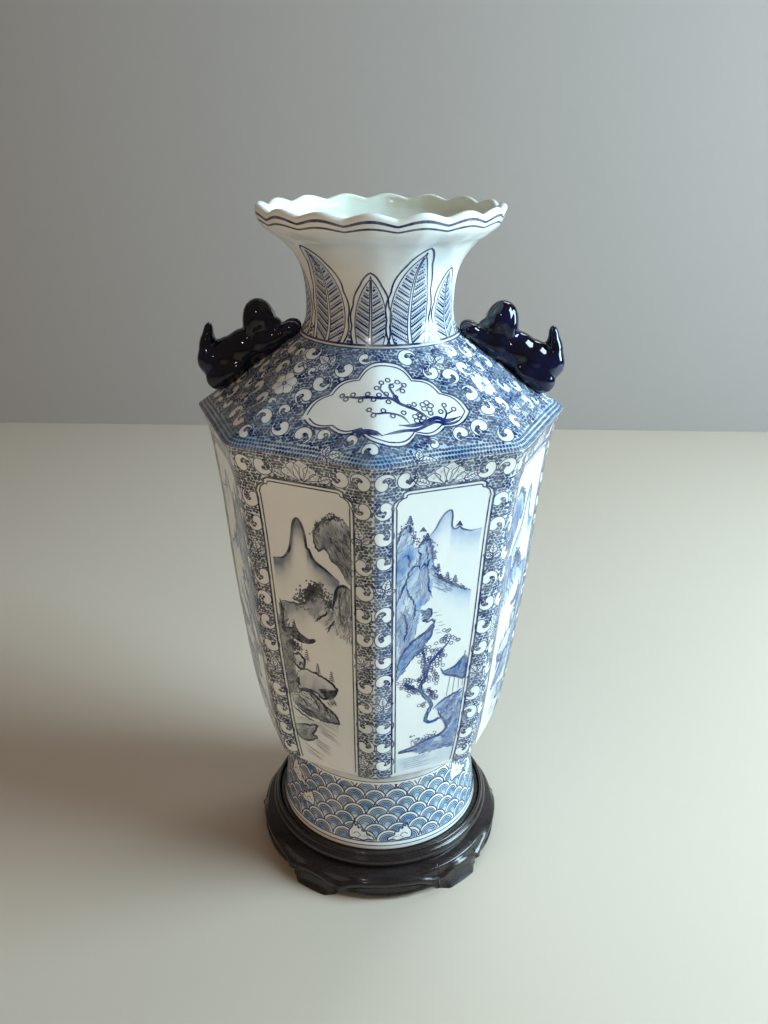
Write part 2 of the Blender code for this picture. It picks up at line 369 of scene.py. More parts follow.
def node(nt, kind, **values):
    n = nt.nodes.new(kind)
    for k, v in values.items():
        if k in n.inputs:
            n.inputs[k].default_value = v
        else:
            setattr(n, k, v)
    return n


def noise(nt, scale, detail=3.0, rough=0.5, coord="Object"):
    tc = node(nt, "ShaderNodeTexCoord")
    n = node(nt, "ShaderNodeTexNoise", Scale=scale, Detail=detail, Roughness=rough)
    nt.links.new(tc.outputs[coord], n.inputs["Vector"])
    return n


def ranged(nt, source, a, b, lo, hi):
    m = node(nt, "ShaderNodeMapRange")
    for k, v in zip(("From Min", "From Max", "To Min", "To Max"), (a, b, lo, hi)):
        m.inputs[k].default_value = v
    nt.links.new(source, m.inputs["Value"])
    return m.outputs["Result"]


def mixed(nt, fac, a, b):
    m = node(nt, "ShaderNodeMix", data_type="RGBA")
    for value, sock in ((fac, m.inputs[0]), (a, m.inputs[6]), (b, m.inputs[7])):
        if isinstance(value, bpy.types.NodeSocket):
            nt.links.new(value, sock)
        else:
            sock.default_value = value
    return m.outputs[2]


def glaze_white(nt, inner=False):
    """Slightly blue-green glaze, cloudier where it pools, with a few iron specks."""
    cloud = noise(nt, 14.0, 4.0, 0.55).outputs["Fac"]
    if inner:
        a, b = (0.80, 0.85, 0.79, 1), (0.68, 0.78, 0.72, 1)
    else:
        a, b = (0.84, 0.87, 0.86, 1), (0.74, 0.81, 0.83, 1)
    base = mixed(nt, ranged(nt, cloud, 0.35, 0.75, 0, 1), a, b)
    speck = noise(nt, 900.0, 1.0).outputs["Fac"]
    return mixed(nt, ranged(nt, speck, 0.80, 0.86, 0, 0.5), base, (0.42, 0.36, 0.30, 1))


def glaze_surface(nt, bsdf, rough=0.10, bumps=0.10, coat=0.12):
    r = noise(nt, 45.0, 4.0, 0.6).outputs["Fac"]
    nt.links.new(ranged(nt, r, 0.3, 0.8, rough * 0.7, rough * 2.0), bsdf.inputs["Roughness"])
    peel = noise(nt, 260.0, 2.0).outputs["Fac"]
    wave = noise(nt, 30.0, 2.0).outputs["Fac"]
    add = node(nt, "ShaderNodeMath", operation="MULTIPLY_ADD")
    nt.links.new(wave, add.inputs[0])
    add.inputs[1].default_value = 6.0
    nt.links.new(peel, add.inputs[2])
    bump = node(nt, "ShaderNodeBump", Strength=bumps, Distance=0.00035)
    nt.links.new(add.outputs[0], bump.inputs["Height"])
    nt.links.new(bump.outputs[0], bsdf.inputs["Normal"])
    bsdf.inputs["Coat Weight"].default_value = coat
    bsdf.inputs["Coat Roughness"].default_value = 0.05
    bsdf.inputs["IOR"].default_value = 1.5


def porcelain_material(name, painted=False, inner=False):
    mat, nt, bsdf = new_material(name)
    colour = glaze_white(nt, inner)
    if painted:
        attr = node(nt, "ShaderNodeVertexColor", layer_name="paint")
        pool = noise(nt, 120.0, 3.0, 0.6).outputs["Fac"]
        mul = node(nt, "ShaderNodeMath", operation="MULTIPLY")
        nt.links.new(attr.outputs["Alpha"], mul.inputs[0])
        nt.links.new(ranged(nt, pool, 0.30, 0.62, 0.74, 1.0), mul.inputs[1])
        colour = mixed(nt, mul.outputs[0], colour, attr.outputs["Color"])
    nt.links.new(colour, bsdf.inputs["Base Color"])
    glaze_surface(nt, bsdf)
    return mat


def unglazed_material(name):
    mat, nt, bsdf = new_material(name)
    n = noise(nt, 60.0, 5.0, 0.65).outputs["Fac"]
    nt.links.new(mixed(nt, ranged(nt, n, 0.35, 0.7, 0, 1), (0.70, 0.66, 0.58, 1), (0.52, 0.46, 0.38, 1)),
                 bsdf.inputs["Base Color"])
    nt.links.new(ranged(nt, n, 0.3, 0.7, 0.6, 0.85), bsdf.inputs["Roughness"])
    bump = node(nt, "ShaderNodeBump", Strength=0.3, Distance=0.0004)
    nt.links.new(noise(nt, 900.0, 2.0).outputs["Fac"], bump.inputs["Height"])
    nt.links.new(bump.outputs[0], bsdf.inputs["Normal"])
    return mat


def cobalt_material(name):
    """Thick near-black cobalt glaze that thins to blue where it runs off."""
    mat, nt, bsdf = new_material(name)
    n = noise(nt, 55.0, 5.0, 0.65).outputs["Fac"]
    nt.links.new(mixed(nt, ranged(nt, n, 0.46, 0.72, 0.0, 1.0), (0.0035, 0.004, 0.011, 1),
                       (0.007, 0.012, 0.070, 1)),
                 bsdf.inputs["Base Color"])
    glaze_surface(nt, bsdf, 0.05, 0.006, 0.6)
    return mat


def wood_material(name):
    """Dark stained hardwood under worn polish: fine grain, paler rubbed edges, dust in the recesses."""
    mat, nt, bsdf = new_material(name)
    tc = node(nt, "ShaderNodeTexCoord")
    sq = node(nt, "ShaderNodeMapping")
    sq.inputs["Scale"].default_value = (1.0, 9.0, 5.0)
    nt.links.new(tc.outputs["Object"], sq.inputs["Vector"])
    grain = node(nt, "ShaderNodeTexNoise", Scale=55.0, Detail=6.0, Roughness=0.65)
    nt.links.new(sq.outputs[0], grain.inputs["Vector"])
    base = mixed(nt, ranged(nt, grain.outputs["Fac"], 0.35, 0.7, 0, 1), (0.016, 0.013, 0.015, 1),
                 (0.036, 0.027, 0.028, 1))
    geo = node(nt, "ShaderNodeNewGeometry")
    worn = ranged(nt, geo.outputs["Pointiness"], 0.52, 0.60, 0.0, 0.55)
    base = mixed(nt, worn, base, (0.085, 0.050, 0.036, 1))
    dust = noise(nt, 420.0, 3.0, 0.7).outputs["Fac"]
    base = mixed(nt, ranged(nt, dust, 0.60, 0.75, 0, 0.16), base, (0.20, 0.19, 0.18, 1))
    nt.links.new(base, bsdf.inputs["Base Color"])
    nt.links.new(ranged(nt, noise(nt, 38.0, 4.0).outputs["Fac"], 0.3, 0.7, 0.13, 0.32),
                 bsdf.inputs["Roughness"])
    bump = node(nt, "ShaderNodeBump", Strength=0.16, Distance=0.0004)
    nt.links.new(grain.outputs["Fac"], bump.inputs["Height"])
    nt.links.new(bump.outputs[0], bsdf.inputs["Normal"])
    bsdf.inputs["Coat Weight"].default_value = 0.5
    bsdf.inputs["Coat Roughness"].default_value = 0.12
    return mat


GLAZE = porcelain_material("white_glaze")
GLAZE_IN = porcelain_material("inner_glaze", inner=True)
PAINTED = porcelain_material("underglaze_cobalt", painted=True)
BISCUIT = unglazed_material("unglazed_foot_rim")
COBALT_GLAZE = cobalt_material("cobalt_black_glaze")
WOOD = wood_material("dark_polished_hardwood")


# --- porcelain pieces ------------------------------------------------------------------------------
def inner_of(pts, wall):
    """Section points moved inwards square to the section; pts is (rows, n, 2) as (r, z)."""
    d = np.gradient(pts, axis=1)
    d /= np.linalg.norm(d, axis=2)[..., None] + 1e-9
    return pts + np.stack([-d[..., 1], d[..., 0]], -1) * wall


def shell(name, surface, zs, azimuths, wall, replaces, lip=False, flat=None):
    """One wall of the vase: outer skin from zs, inner skin a wall's thickness in."""
    az, z = np.meshgrid(azimuths, zs, indexing="ij")
    r, zz = surface(az, z)
    outer = np.stack([r, zz], -1)
    inner = inner_of(outer, wall)
    if flat is not None:
        for end in flat:
            inner[:, end, 0] = outer[:, end, 0] - wall
            inner[:, end, 1] = outer[:, end, 1]
    if lip:
        a, b = outer[:, -1], inner[:, -1]
        mid, half = (a + b) / 2, (a - b) / 2
        up = np.stack([-half[:, 1], half[:, 0]], -1)
        arc = [mid + half * math.cos(t) + up * math.sin(t) * 0.9
               for t in np.linspace(0.35, math.pi - 0.35, 7)]
        loop = np.concatenate([outer, np.stack(arc, 1), inner[:, ::-1]], 1)
    else:
        loop = np.concatenate([outer, inner[:, ::-1]], 1)
    me = sheet_mesh(name, place(az[:, :1], loop[..., 0], loop[..., 1]))
    me.materials.append(GLAZE)
    me.materials.append(GLAZE_IN)
    cols = loop.shape[1]
    first = len(zs) + (4 if lip else 0)
    slot = np.zeros((len(azimuths), cols), np.int32)
    slot[:, first:] = 1
    me.polygons.foreach_set("material_index", slot.ravel())
    return piece(name, me, GLAZE, "vase", replaces)


def corner_azimuths():
    """Closer together round the eight soft corners."""
    step = np.concatenate([np.linspace(0, 4, 9), np.linspace(5.5, 39.5, 16), np.linspace(41, 44.5, 8)])
    return np.concatenate([45 * k + step for k in range(8)])


corners = corner_azimuths()
shell("neck_with_scalloped_lip", neck_surface, np.concatenate([[NECK_Z], np.linspace(347, 403, 40),
      np.linspace(404, 415.6, 18)]), np.arange(384) * 360 / 384 + SCALLOP_PHASE, WALL, ["neck"], lip=True,
      flat=[0])
shell("sloping_shoulder", lambda az, q: shoulder_surface(az, NECK_R + (EDGE_R * octagon(az) - NECK_R) * q),
      np.linspace(1, 0, 40), corners, WALL, ["shoulder"], flat=[0, -1])
shell("panelled_body", body_surface, np.concatenate([np.linspace(BODY_Z, 80, 22), np.linspace(83, 288, 50),
      np.linspace(290, EDGE_Z, 10)]), corners, WALL, ["body_wall"], flat=[0, -1])


def foot_piece():
    az = corners
    zs = np.concatenate([np.linspace(0.0, 2.0, 6), np.linspace(4, BODY_Z, 40)])
    a, z = np.meshgrid(az, zs, indexing="ij")
    r, zz = foot_surface(a, z)
    outer = np.stack([r, zz], -1)
    inner_z = np.array([BODY_Z, 60, 54, 46, 30, 20, 6, 1.0, 0.0])
    inner_r = np.array([65.5, 61.5, 60.6, 61.4, 63.6, 64.6, 64.6, 65.0, 66.2])
    inner = np.broadcast_to(np.stack([inner_r, inner_z], -1), (len(az), len(inner_z), 2))
    loop = np.concatenate([outer, inner], 1)
    me = sheet_mesh("spreading_foot", place(a[:, :1], loop[..., 0], loop[..., 1]))
    me.materials.append(GLAZE)
    me.materials.append(BISCUIT)
    slot = np.zeros((len(az), loop.shape[1]), np.int32)
    slot[:, -3:] = 1
    slot[:, :1] = 1
    me.polygons.foreach_set("material_index", slot.ravel())
    return piece("spreading_foot", me, GLAZE, "vase", ["foot_ring"])


foot_piece()
for cad, mat in (("base_floor", GLAZE_IN), ("stand_seat", WOOD)):
    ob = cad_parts[cad]
    for s in ob.material_slots:
        s.material = mat


# --- painted motifs, each in flat millimetres --------------------------------------------------------
def turned(pts, c, angle=0.0, size=1.0, flip=1.0):
    p = np.asarray(pts, float) * (flip * size, size)
    ca, sa = math.cos(angle), math.sin(angle)
    return np.stack([p[:, 0] * ca - p[:, 1] * sa, p[:, 0] * sa + p[:, 1] * ca], 1) + np.asarray(c, float)


def comma_shape():
    """Outline of the white comma scroll, about 12 mm across, and its inner edge."""
    t = np.linspace(0, 1, 26)
    th = np.radians(118 + 262 * t)
    rho = 5.3 - 2.9 * t ** 1.5
    half = 0.25 + 3.1 * t ** 0.95
    p = np.stack([np.cos(th), np.sin(th)], 1) * rho[:, None]
    d = np.gradient(p, axis=0)
    d /= np.linalg.norm(d, axis=1)[:, None]
    n = np.stack([-d[:, 1], d[:, 0]], 1)
    left, right = p - n * half[:, None], p + n * half[:, None]
    a0 = math.atan2(*(left[-1] - p[-1])[::-1])
    k = np.linspace(0, math.pi, 11)[1:-1]
    cap = p[-1] + np.stack([np.cos(a0 + k), np.sin(a0 + k)], 1) * half[-1]
    return np.vstack([left, cap, right[::-1]]), np.vstack([right[9:], cap[:-5:-1]])


COMMA, HOOK = comma_shape()


def comma(paint, c, angle=0.0, size=1.0, flip=1.0, colour=NAVY):
    paint.keep(turned(COMMA, c, angle, size, flip), 0.55, colour)
    paint.line(turned(HOOK, c, angle, size, flip), 1.05 * size, colour, smooth=False, taper=0.35)
    paint.marks(turned(HOOK[12:13] * 0.9, c, angle, size, flip), 1.5 * size, 1.2 * size, 0.4, colour)


def leaf(paint, c, angle, length, width, colour=NAVY, veins=4):
    """A white leaf with a frilled edge, midrib and side veins, from its foot at c."""
    t = np.linspace(0, 1, 25)
    half = width * np.sin(math.pi * t ** 0.85) ** 0.8 * (0.9 + 0.18 * np.abs(np.sin(3.2 * math.pi * t)))
    top = np.stack([t * length, half], 1)
    low = np.stack([t * length, -half], 1)[::-1][1:-1]
    paint.keep(turned(np.vstack([top, low]), c, angle), 0.50, colour)
    paint.line(turned([(0, 0), (length * 0.45, width * 0.12), (length * 0.86, 0)], c, angle), 0.48, colour,
               taper=0.3)
    for k in range(1, veins + 1):
        x = length * k / (veins + 1.4)
        for s in (-1, 1):
            paint.line(turned([(x, 0), (x + length * 0.10, s * width * 0.55)], c, angle), 0.36, COBALT, 0.9,
                       smooth=False)


def sprig(paint, c, angle, size=1.0, colour=NAVY):
    """Three leaves and a curling stem."""
    leaf(paint, c, angle, 8.5 * size, 2.3 * size, colour)
    leaf(paint, c, angle + 1.25, 6.0 * size, 1.9 * size, colour, 3)
    leaf(paint, c, angle - 1.25, 6.0 * size, 1.9 * size, colour, 3)
    paint.line(turned([(0, 0), (-2.4 * size, 0.7 * size), (-4.2 * size, -0.8 * size)], c, angle), 0.55,
               colour)


def flower(paint, c, size=1.0, petals=6, colour=NAVY):
    """A white open flower with a blue heart of fine strokes."""
    f = np.linspace(0, 2 * math.pi, 61)[:-1]
    r = size * (6.2 + 1.5 * np.abs(np.cos(f * petals / 2)) ** 0.6 - 0.9)
    paint.keep(np.stack([r * np.cos(f), r * np.sin(f)], 1) + c, 0.4, colour)
    for k in range(petals):
        a = 2 * math.pi * (k + 0.5) / petals
        paint.line([c + np.array([math.cos(a), math.sin(a)]) * size * q for q in (1.5, 3.6, 5.2)], 0.32,
                   colour, taper=0.4)
    for k in range(22):
        a = 2 * math.pi * k / 22
        q = size * (3.0 + 1.2 * rng.random())
        u = np.array([math.cos(a), math.sin(a)])
        paint.line([c + u * 0.5, c + u * q], 0.36, COBALT, 0.9, taper=0.5, smooth=False)
    k = np.linspace(0, 2 * math.pi, 10)[:-1]
    paint.marks(c + np.stack([np.cos(k), np.sin(k)], 1) * 0.9 * size, 0.9, 0.8, 0, NAVY)


def half_peony(paint, c, width, colour=NAVY):
    """The half flower and its leaves above each panel; c is the middle of its flat foot."""
    c = np.asarray(c, float)
    lobes = [(-0.36, 0.26, 0.17), (-0.18, 0.50, 0.18), (0.06, 0.60, 0.19), (0.27, 0.42, 0.17),
             (0.40, 0.18, 0.15)]
    for x, y, r in lobes:
        k = np.linspace(-0.2, math.pi + 0.2, 15)
        cc = c + np.array([x, y * 0.72]) * width
        poly = np.stack([np.cos(k), np.sin(k)], 1) * r * width * (1 + 0.07 * np.sin(5 * k))[:, None] + cc
        poly = np.vstack([poly, c + (0.04 * width * np.sign(x), 0)])
        paint.keep(poly, 0.40, colour)
        for a in np.linspace(0.5, 2.6, 7):
            u = np.array([math.cos(a), math.sin(a)])
            paint.line([cc - u * r * 0.15 * width, cc + u * r * 0.62 * width], 0.24, COBALT, 0.75, taper=0.5,
                       smooth=False)
    for s in (-1, 1):
        leaf(paint, c + np.array([s * 0.46 * width, 1.4]), math.pi / 2 - s * 1.15, width * 0.48, 2.3, colour)


def dot_field(x0, x1, y0, y1, pitch=2.05, jitter=0.24):
    """A loosely hexagonal scatter."""
    rows = int((y1 - y0) / (pitch * 0.88))
    cols = int((x1 - x0) / pitch)
    j, i = np.meshgrid(np.arange(rows), np.arange(cols), indexing="ij")
    x = x0 + (i + 0.5 * (j % 2)) * pitch
    y = y0 + j * pitch * 0.88
    p = np.stack([x.ravel(), y.ravel()], 1)
    return p + rng.normal(0, jitter, p.shape)


def value_noise(x, y, cell, seed):
    """Smooth noise in 0..1 at points x, y."""
    g = np.random.default_rng(seed).random((64, 64))
    u, v = x / cell, y / cell
    i, j = np.floor(u).astype(int), np.floor(v).astype(int)
    fu, fv = u - i, v - j
    fu, fv = fu * fu * (3 - 2 * fu), fv * fv * (3 - 2 * fv)
    a = g[i % 64, j % 64] * (1 - fu) + g[(i + 1) % 64, j % 64] * fu
    b = g[i % 64, (j + 1) % 64] * (1 - fu) + g[(i + 1) % 64, (j + 1) % 64] * fu
    return a * (1 - fv) + b * fv


# --- body: eight panels ------------------------------------------------------------------------------
PANEL_TOP, PANEL_LOW, BORDER = 280.0, 70.5, 13.6


def half_width(z):
    return table(BODY_T, z) * math.sin(math.radians(22.5))


def tint_under(paint, x, y, strength, seed, colour=(0.06, 0.30, 0.60)):
    """Pale blue bled into the glaze between the dots of a ground."""
    a = strength * (0.45 + 1.1 * value_noise(x + 200, y + 200, 13.0, seed + 60))
    a = a * paint.clear(np.stack([x.ravel(), y.ravel()], 1), 0.2).reshape(x.shape)
    rgba = np.empty(x.shape + (4,))
    rgba[..., :3] = colour
    rgba[..., 3] = a
    paint.grid(x, y, rgba, lift=0.03)


class Panel:
    """Drawing space of one landscape: a runs 0..1 across, b runs 0..1 from top to bottom."""

    def __init__(self, paint, mirror, seed, ink, wash):
        self.paint, self.mirror, self.seed, self.ink, self.tint = paint, mirror, seed, ink, wash
        self.stroke = (0.010, 0.095, 0.36) if ink == BLUE_INK else ink
        a, b = np.meshgrid(np.linspace(0, 1, 76), np.linspace(0, 1, 290))
        self.a, self.b = a, b
        self.alpha = np.zeros_like(a)
        self.dark = np.zeros_like(a)
        self.rng = np.random.default_rng(seed)

    def at(self, pts):
        p = np.atleast_2d(np.asarray(pts, float))
        a = 1 - p[:, 0] if self.mirror else p[:, 0]
        z = PANEL_TOP - p[:, 1] * (PANEL_TOP - PANEL_LOW)
        return np.stack([(2 * a - 1) * (half_width(z) - BORDER - 0.4), z], 1)

    def rough(self, pts, amount=0.27):
        """The same line with the small bumps of a hand-drawn rock edge."""
        c = catmull(np.asarray(pts, float) * (50, 210), 1.3)
        return (c + self.rng.normal(0, amount, c.shape)) / (50, 210)

    def line(self, pts, width=0.5, alpha=1.0, taper=0.2, colour=None, smooth=True):
        if smooth and 0.55 <= width <= 0.85 and colour is None:
            pts = self.rough(pts)
        self.paint.line(self.at(pts), width * 1.95, colour or self.ink, alpha, taper=taper, smooth=smooth,
                        lift=0.10)

    def inside(self, poly):
        m = inside(np.asarray(poly, float), np.stack([self.a.ravel(), self.b.ravel()], 1))
        return m.reshape(self.a.shape)

    def wash(self, poly, strong, weak=None, streak=0.0, lean=0.0):
        """Fills a shape, from strong at its top to weak at its foot, with streaks leaning sideways."""
        m = self.inside(poly)
        top, low = np.min([q[1] for q in poly]), np.max([q[1] for q in poly])
        t = np.clip((self.b - top) / (low - top + 1e-9), 0, 1)
        v = strong + ((strong if weak is None else weak) - strong) * t
        n = value_noise(self.a * 40 + self.b * 160 * lean, self.b * 30, 2.0, self.seed + 3)
        v = v * (0.75 + 0.5 * value_noise(self.a * 40, self.b * 160, 6.0, self.seed))
        v = v * (1 - streak) + v * streak * 2 * n
        self.alpha[m] = np.maximum(self.alpha, v)[m]

    def under(self, ridge, strong, depth):
        """A wash that hangs below a ridge line and fades."""
        r = np.array(ridge, float)
        o = np.argsort(r[:, 0])
        top = np.interp(self.a, r[o, 0], r[o, 1], left=9, right=9)
        m = self.b > top
        v = strong * np.exp(-((self.b - top) / depth) ** 1.5)
        v = v * (0.8 + 0.4 * value_noise(self.a * 40, self.b * 160, 8.0, self.seed + 5))
        self.alpha[m] = np.maximum(self.alpha, v)[m]

    def texture(self, poly, count, angle, length=3.0, width=0.35, alpha=0.8, spread=0.35):
        """Dry strokes inside a shape; the angle is in mm space, from +a towards the top."""
        poly = np.asarray(poly, float)
        lo, hi = poly.min(0), poly.max(0)
        p = lo + (hi - lo) * self.rng.random((count * 3, 2))
        p = p[inside(poly, p)][:count]
        ang = angle + self.rng.normal(0, spread, len(p))
        if self.mirror:
            ang = math.pi - ang
        self.paint.marks(self.at(p), length * (0.5 + self.rng.random(len(p))), width * 1.55, ang, self.stroke,
                         alpha * (0.6 + 0.5 * self.rng.random(len(p))))

    def foliage(self, pts, count, spread=0.02, size=1.1):
        """Loose clumps of leaf dots along a line."""
        c = catmull(np.asarray(pts, float) * (50, 210), 1.0) / (50, 210)
        count, size = int(count * 1.5), size * 1.25
        p = c[self.rng.integers(0, len(c), count)]
        p = p + self.rng.normal(0, 1, (count, 2)) * (spread * 1.6, spread * 0.4)
        self.paint.marks(self.at(p), size, size * 0.7, self.rng.random(len(p)) * 3.1, self.ink, 0.9)

    def pine(self, a, b, h=0.03):
        self.line([(a, b), (a + 0.005, b - h)], 0.5, smooth=False)
        for k in range(5):
            y, w = b - h * (0.3 + 0.19 * k), 0.05 * (1 - 0.17 * k)
            self.line([(a - w, y + 0.003), (a - w * 0.2, y - 0.001), (a + w * 0.8, y + 0.004)], 0.30)

    def grass(self, pts, length=0.012, every=1.3):
        """Short upright spikes on a line."""
        c = catmull(np.asarray(pts, float) * (50, 210), every) / (50, 210)
        for q in c:
            w = self.rng.normal(0, 0.012)
            self.line([q, q + (w - 0.006, -length * (0.6 + 0.8 * self.rng.random()))], 0.5, smooth=False,
                      taper=0.4)

    def water(self, a0, b0, width, rows, slope=0.05, step=0.007):
        for k in range(rows):
            s = a0 + self.rng.normal(0, 0.03)
            e = s + width * (0.5 + 0.5 * self.rng.random())
            y = b0 + k * step
            self.line([(s, y), ((s + e) / 2, y + slope * 0.5), (e, y + slope)], 0.24, 0.6)

    def blossom(self, pts, count, spread=0.012):
        c = catmull(np.asarray(pts, float) * (50, 210), 1.0) / (50, 210)
        k = np.linspace(0, 2 * math.pi, 9)
        for _ in range(count):
            q = self.at(c[self.rng.integers(len(c))] + self.rng.normal(0, 1, 2)
                        * (spread * 3.2, spread * 0.75))[0]
            ring = q + np.stack([np.cos(k), np.sin(k)], 1) * 1.15
            self.paint.line(ring, 0.42, self.ink, 0.95, closed=True, smooth=False)

    def finish(self):
        xy = self.at(np.stack([self.a.ravel(), self.b.ravel()], 1))
        n = value_noise(xy[:, 0], xy[:, 1], 3.1, self.seed + 9).reshape(self.a.shape)
        rgba = np.empty(self.a.shape + (4,))
        rgba[..., :3] = np.asarray(self.tint)
        rgba[..., 3] = np.clip(self.alpha * (0.95 + 0.5 * n), 0, 0.94)
        self.paint.grid(xy[:, 0].reshape(self.a.shape), xy[:, 1].reshape(self.a.shape), rgba)


def cliffs(p):
    """Finger peak, overhanging crag, wooded bluff, roof among trees, tumbled rocks over water."""
    peak = [(0.03, 0.238), (0.16, 0.232), (0.25, 0.205), (0.30, 0.160), (0.335, 0.118), (0.385, 0.100),
            (0.435, 0.115), (0.465, 0.150), (0.475, 0.185), (0.50, 0.190), (0.56, 0.222), (0.70, 0.245),
            (0.86, 0.272)]
    p.line(peak, 0.86, taper=0.12)
    p.under(peak, 0.85, 0.048)
    crag = [(1.0, 0.098), (0.93, 0.080), (0.84, 0.074), (0.74, 0.088), (0.64, 0.108), (0.585, 0.135),
            (0.580, 0.165), (0.62, 0.187), (0.68, 0.176), (0.735, 0.186), (0.78, 0.212), (0.85, 0.220),
            (0.91, 0.243), (0.955, 0.268), (1.0, 0.272)]
    p.wash(crag, 0.42, 0.95, 0.5, 0.6)
    p.line(crag, 0.7)
    p.texture(crag, 80, -1.05, 5.0, 0.34, 0.9)
    p.texture([(0.74, 0.15), (1.0, 0.12), (1.0, 0.27), (0.82, 0.215)], 90, -0.95, 6.0, 0.5, 1.0)
    p.grass(crag[2:6], 0.014)
    p.foliage(crag[1:6], 60, 0.016)
    bluff = [(0.06, 0.378), (0.22, 0.376), (0.36, 0.374), (0.43, 0.352), (0.50, 0.332), (0.56, 0.322),
             (0.63, 0.330), (0.68, 0.352), (0.71, 0.372)]
    tower = [(0.76, 0.372), (0.79, 0.330), (0.82, 0.302), (0.86, 0.288), (0.93, 0.283), (1.0, 0.292)]
    p.line(bluff, 0.7)
    p.line(tower, 0.9)
    p.line([(0.71, 0.372), (0.74, 0.345), (0.77, 0.335)], 0.6)
    p.under(bluff + tower, 0.62, 0.055)
    body = [(0.36, 0.376), (0.56, 0.325), (0.66, 0.345), (0.80, 0.33), (0.86, 0.29), (1.0, 0.292),
            (1.0, 0.475), (0.80, 0.455), (0.62, 0.43), (0.45, 0.405)]
    p.wash(body, 0.66, 0.10, 0.6, 0.5)
    p.texture(body, 80, 1.15, 5.0, 0.30, 0.8)
    p.texture([(0.80, 0.30), (1.0, 0.30), (1.0, 0.44), (0.84, 0.42)], 90, 1.35, 7.0, 0.36, 0.9, 0.2)
    p.line([(0.70, 0.372), (0.66, 0.39), (0.57, 0.41), (0.50, 0.425)], 0.6)
    p.line([(0.79, 0.40), (0.72, 0.43), (0.68, 0.455)], 0.55)
    p.line([(0.86, 0.30), (0.85, 0.35), (0.87, 0.41)], 0.5)
    p.foliage([(0.30, 0.372), (0.40, 0.350), (0.50, 0.322), (0.58, 0.305), (0.66, 0.33), (0.72, 0.36)], 190,
              0.028, 1.2)
    p.foliage([(0.42, 0.345), (0.52, 0.318), (0.60, 0.306)], 80, 0.022, 1.3)
    p.wash([(0.04, 0.385), (0.36, 0.378), (0.30, 0.40), (0.14, 0.42), (0.10, 0.50), (0.02, 0.50)], 0.55,
           0.35, 0.5)
    p.line([(0.055, 0.372), (0.075, 0.41), (0.06, 0.455), (0.10, 0.49), (0.16, 0.505)], 1.0)
    p.texture([(0.03, 0.385), (0.14, 0.385), (0.14, 0.50), (0.03, 0.50)], 60, 1.4, 4.0, 0.5)
    # roof, posts and terrace
    p.wash([(0.0, 0.42), (0.06, 0.45), (0.13, 0.475), (0.17, 0.53), (0.16, 0.60), (0.14, 0.70),
            (0.0, 0.72)], 0.6, 0.8, 0.5)
    p.texture([(0.0, 0.44), (0.10, 0.47), (0.17, 0.55), (0.14, 0.70), (0.0, 0.71)], 150, 1.25, 4.0, 0.55)
    roof = [(0.222, 0.438), (0.235, 0.462), (0.275, 0.478), (0.34, 0.489), (0.41, 0.495), (0.485, 0.490),
            (0.44, 0.500), (0.35, 0.505), (0.27, 0.503), (0.19, 0.495), (0.10, 0.486), (0.04, 0.470),
            (0.10, 0.468), (0.16, 0.466), (0.205, 0.460)]
    p.wash(roof, 1.0)
    p.line(roof, 1.0)
    p.texture(roof, 200, -0.4, 2.6, 0.7, 1.0)
    p.line([(0.222, 0.462), (0.222, 0.434)], 1.1, smooth=False)
    for a, b in ((0.13, 0.492), (0.19, 0.498), (0.235, 0.503), (0.30, 0.507)):
        p.line([(a, b), (a - 0.02, b + 0.040)], 0.55, smooth=False)
    p.foliage([(0.10, 0.515), (0.16, 0.520), (0.20, 0.535)], 70, 0.022, 1.3)
    boulder = [(0.13, 0.575), (0.17, 0.558), (0.24, 0.552), (0.295, 0.566), (0.305, 0.588), (0.26, 0.606),
               (0.19, 0.604)]
    slab = [(0.165, 0.634), (0.24, 0.612), (0.34, 0.606), (0.46, 0.613), (0.585, 0.622), (0.69, 0.636),
            (0.76, 0.654), (0.70, 0.678), (0.58, 0.700), (0.50, 0.698), (0.47, 0.688), (0.375, 0.682),
            (0.28, 0.686), (0.17, 0.690), (0.145, 0.664)]
    long = [(0.02, 0.724), (0.15, 0.700), (0.285, 0.690), (0.42, 0.701), (0.50, 0.717), (0.60, 0.737),
            (0.70, 0.753), (0.765, 0.784), (0.665, 0.789), (0.51, 0.792), (0.40, 0.788), (0.29, 0.785),
            (0.16, 0.770), (0.06, 0.748)]
    low = [(0.0, 0.838), (0.10, 0.830), (0.26, 0.825), (0.38, 0.817), (0.35, 0.838), (0.29, 0.860),
           (0.35, 0.871), (0.22, 0.890), (0.09, 0.896), (0.01, 0.876)]
    for shape, top, foot in ((boulder, 0.12, 0.45), (slab, 0.05, 0.50), (long, 0.22, 0.80),
                             (low, 0.30, 0.70)):
        p.wash(shape, top, foot, 0.5, 0.3)
        p.line(shape + shape[:1], 0.80)
    p.line([(0.15, 0.690), (0.30, 0.683), (0.42, 0.700), (0.52, 0.722)], 1.2)
    p.line([(0.58, 0.700), (0.68, 0.684), (0.765, 0.655)], 1.5)
    p.texture([(0.48, 0.670), (0.76, 0.655), (0.70, 0.68), (0.58, 0.70)], 120, 0.45, 2.6, 0.6, 1.0)
    p.texture(long, 110, -0.75, 3.6, 0.36, 0.95)
    for crack in ([(0.10, 0.712), (0.22, 0.730), (0.26, 0.755)],
                  [(0.30, 0.692), (0.42, 0.722), (0.46, 0.760)],
                  [(0.47, 0.712), (0.58, 0.745), (0.64, 0.780)]):
        p.line(crack, 0.6)
    p.texture([(0.06, 0.742), (0.30, 0.765), (0.60, 0.775), (0.70, 0.788), (0.30, 0.785)], 120, -0.6, 4.0,
              0.6, 1.0, 0.2)
    p.texture(low, 60, 0.9, 3.2, 0.36)
    p.line([(0.02, 0.765), (0.20, 0.792), (0.36, 0.806)], 0.6)
    p.line([(0.21, 0.60), (0.25, 0.582), (0.28, 0.596)], 0.55)
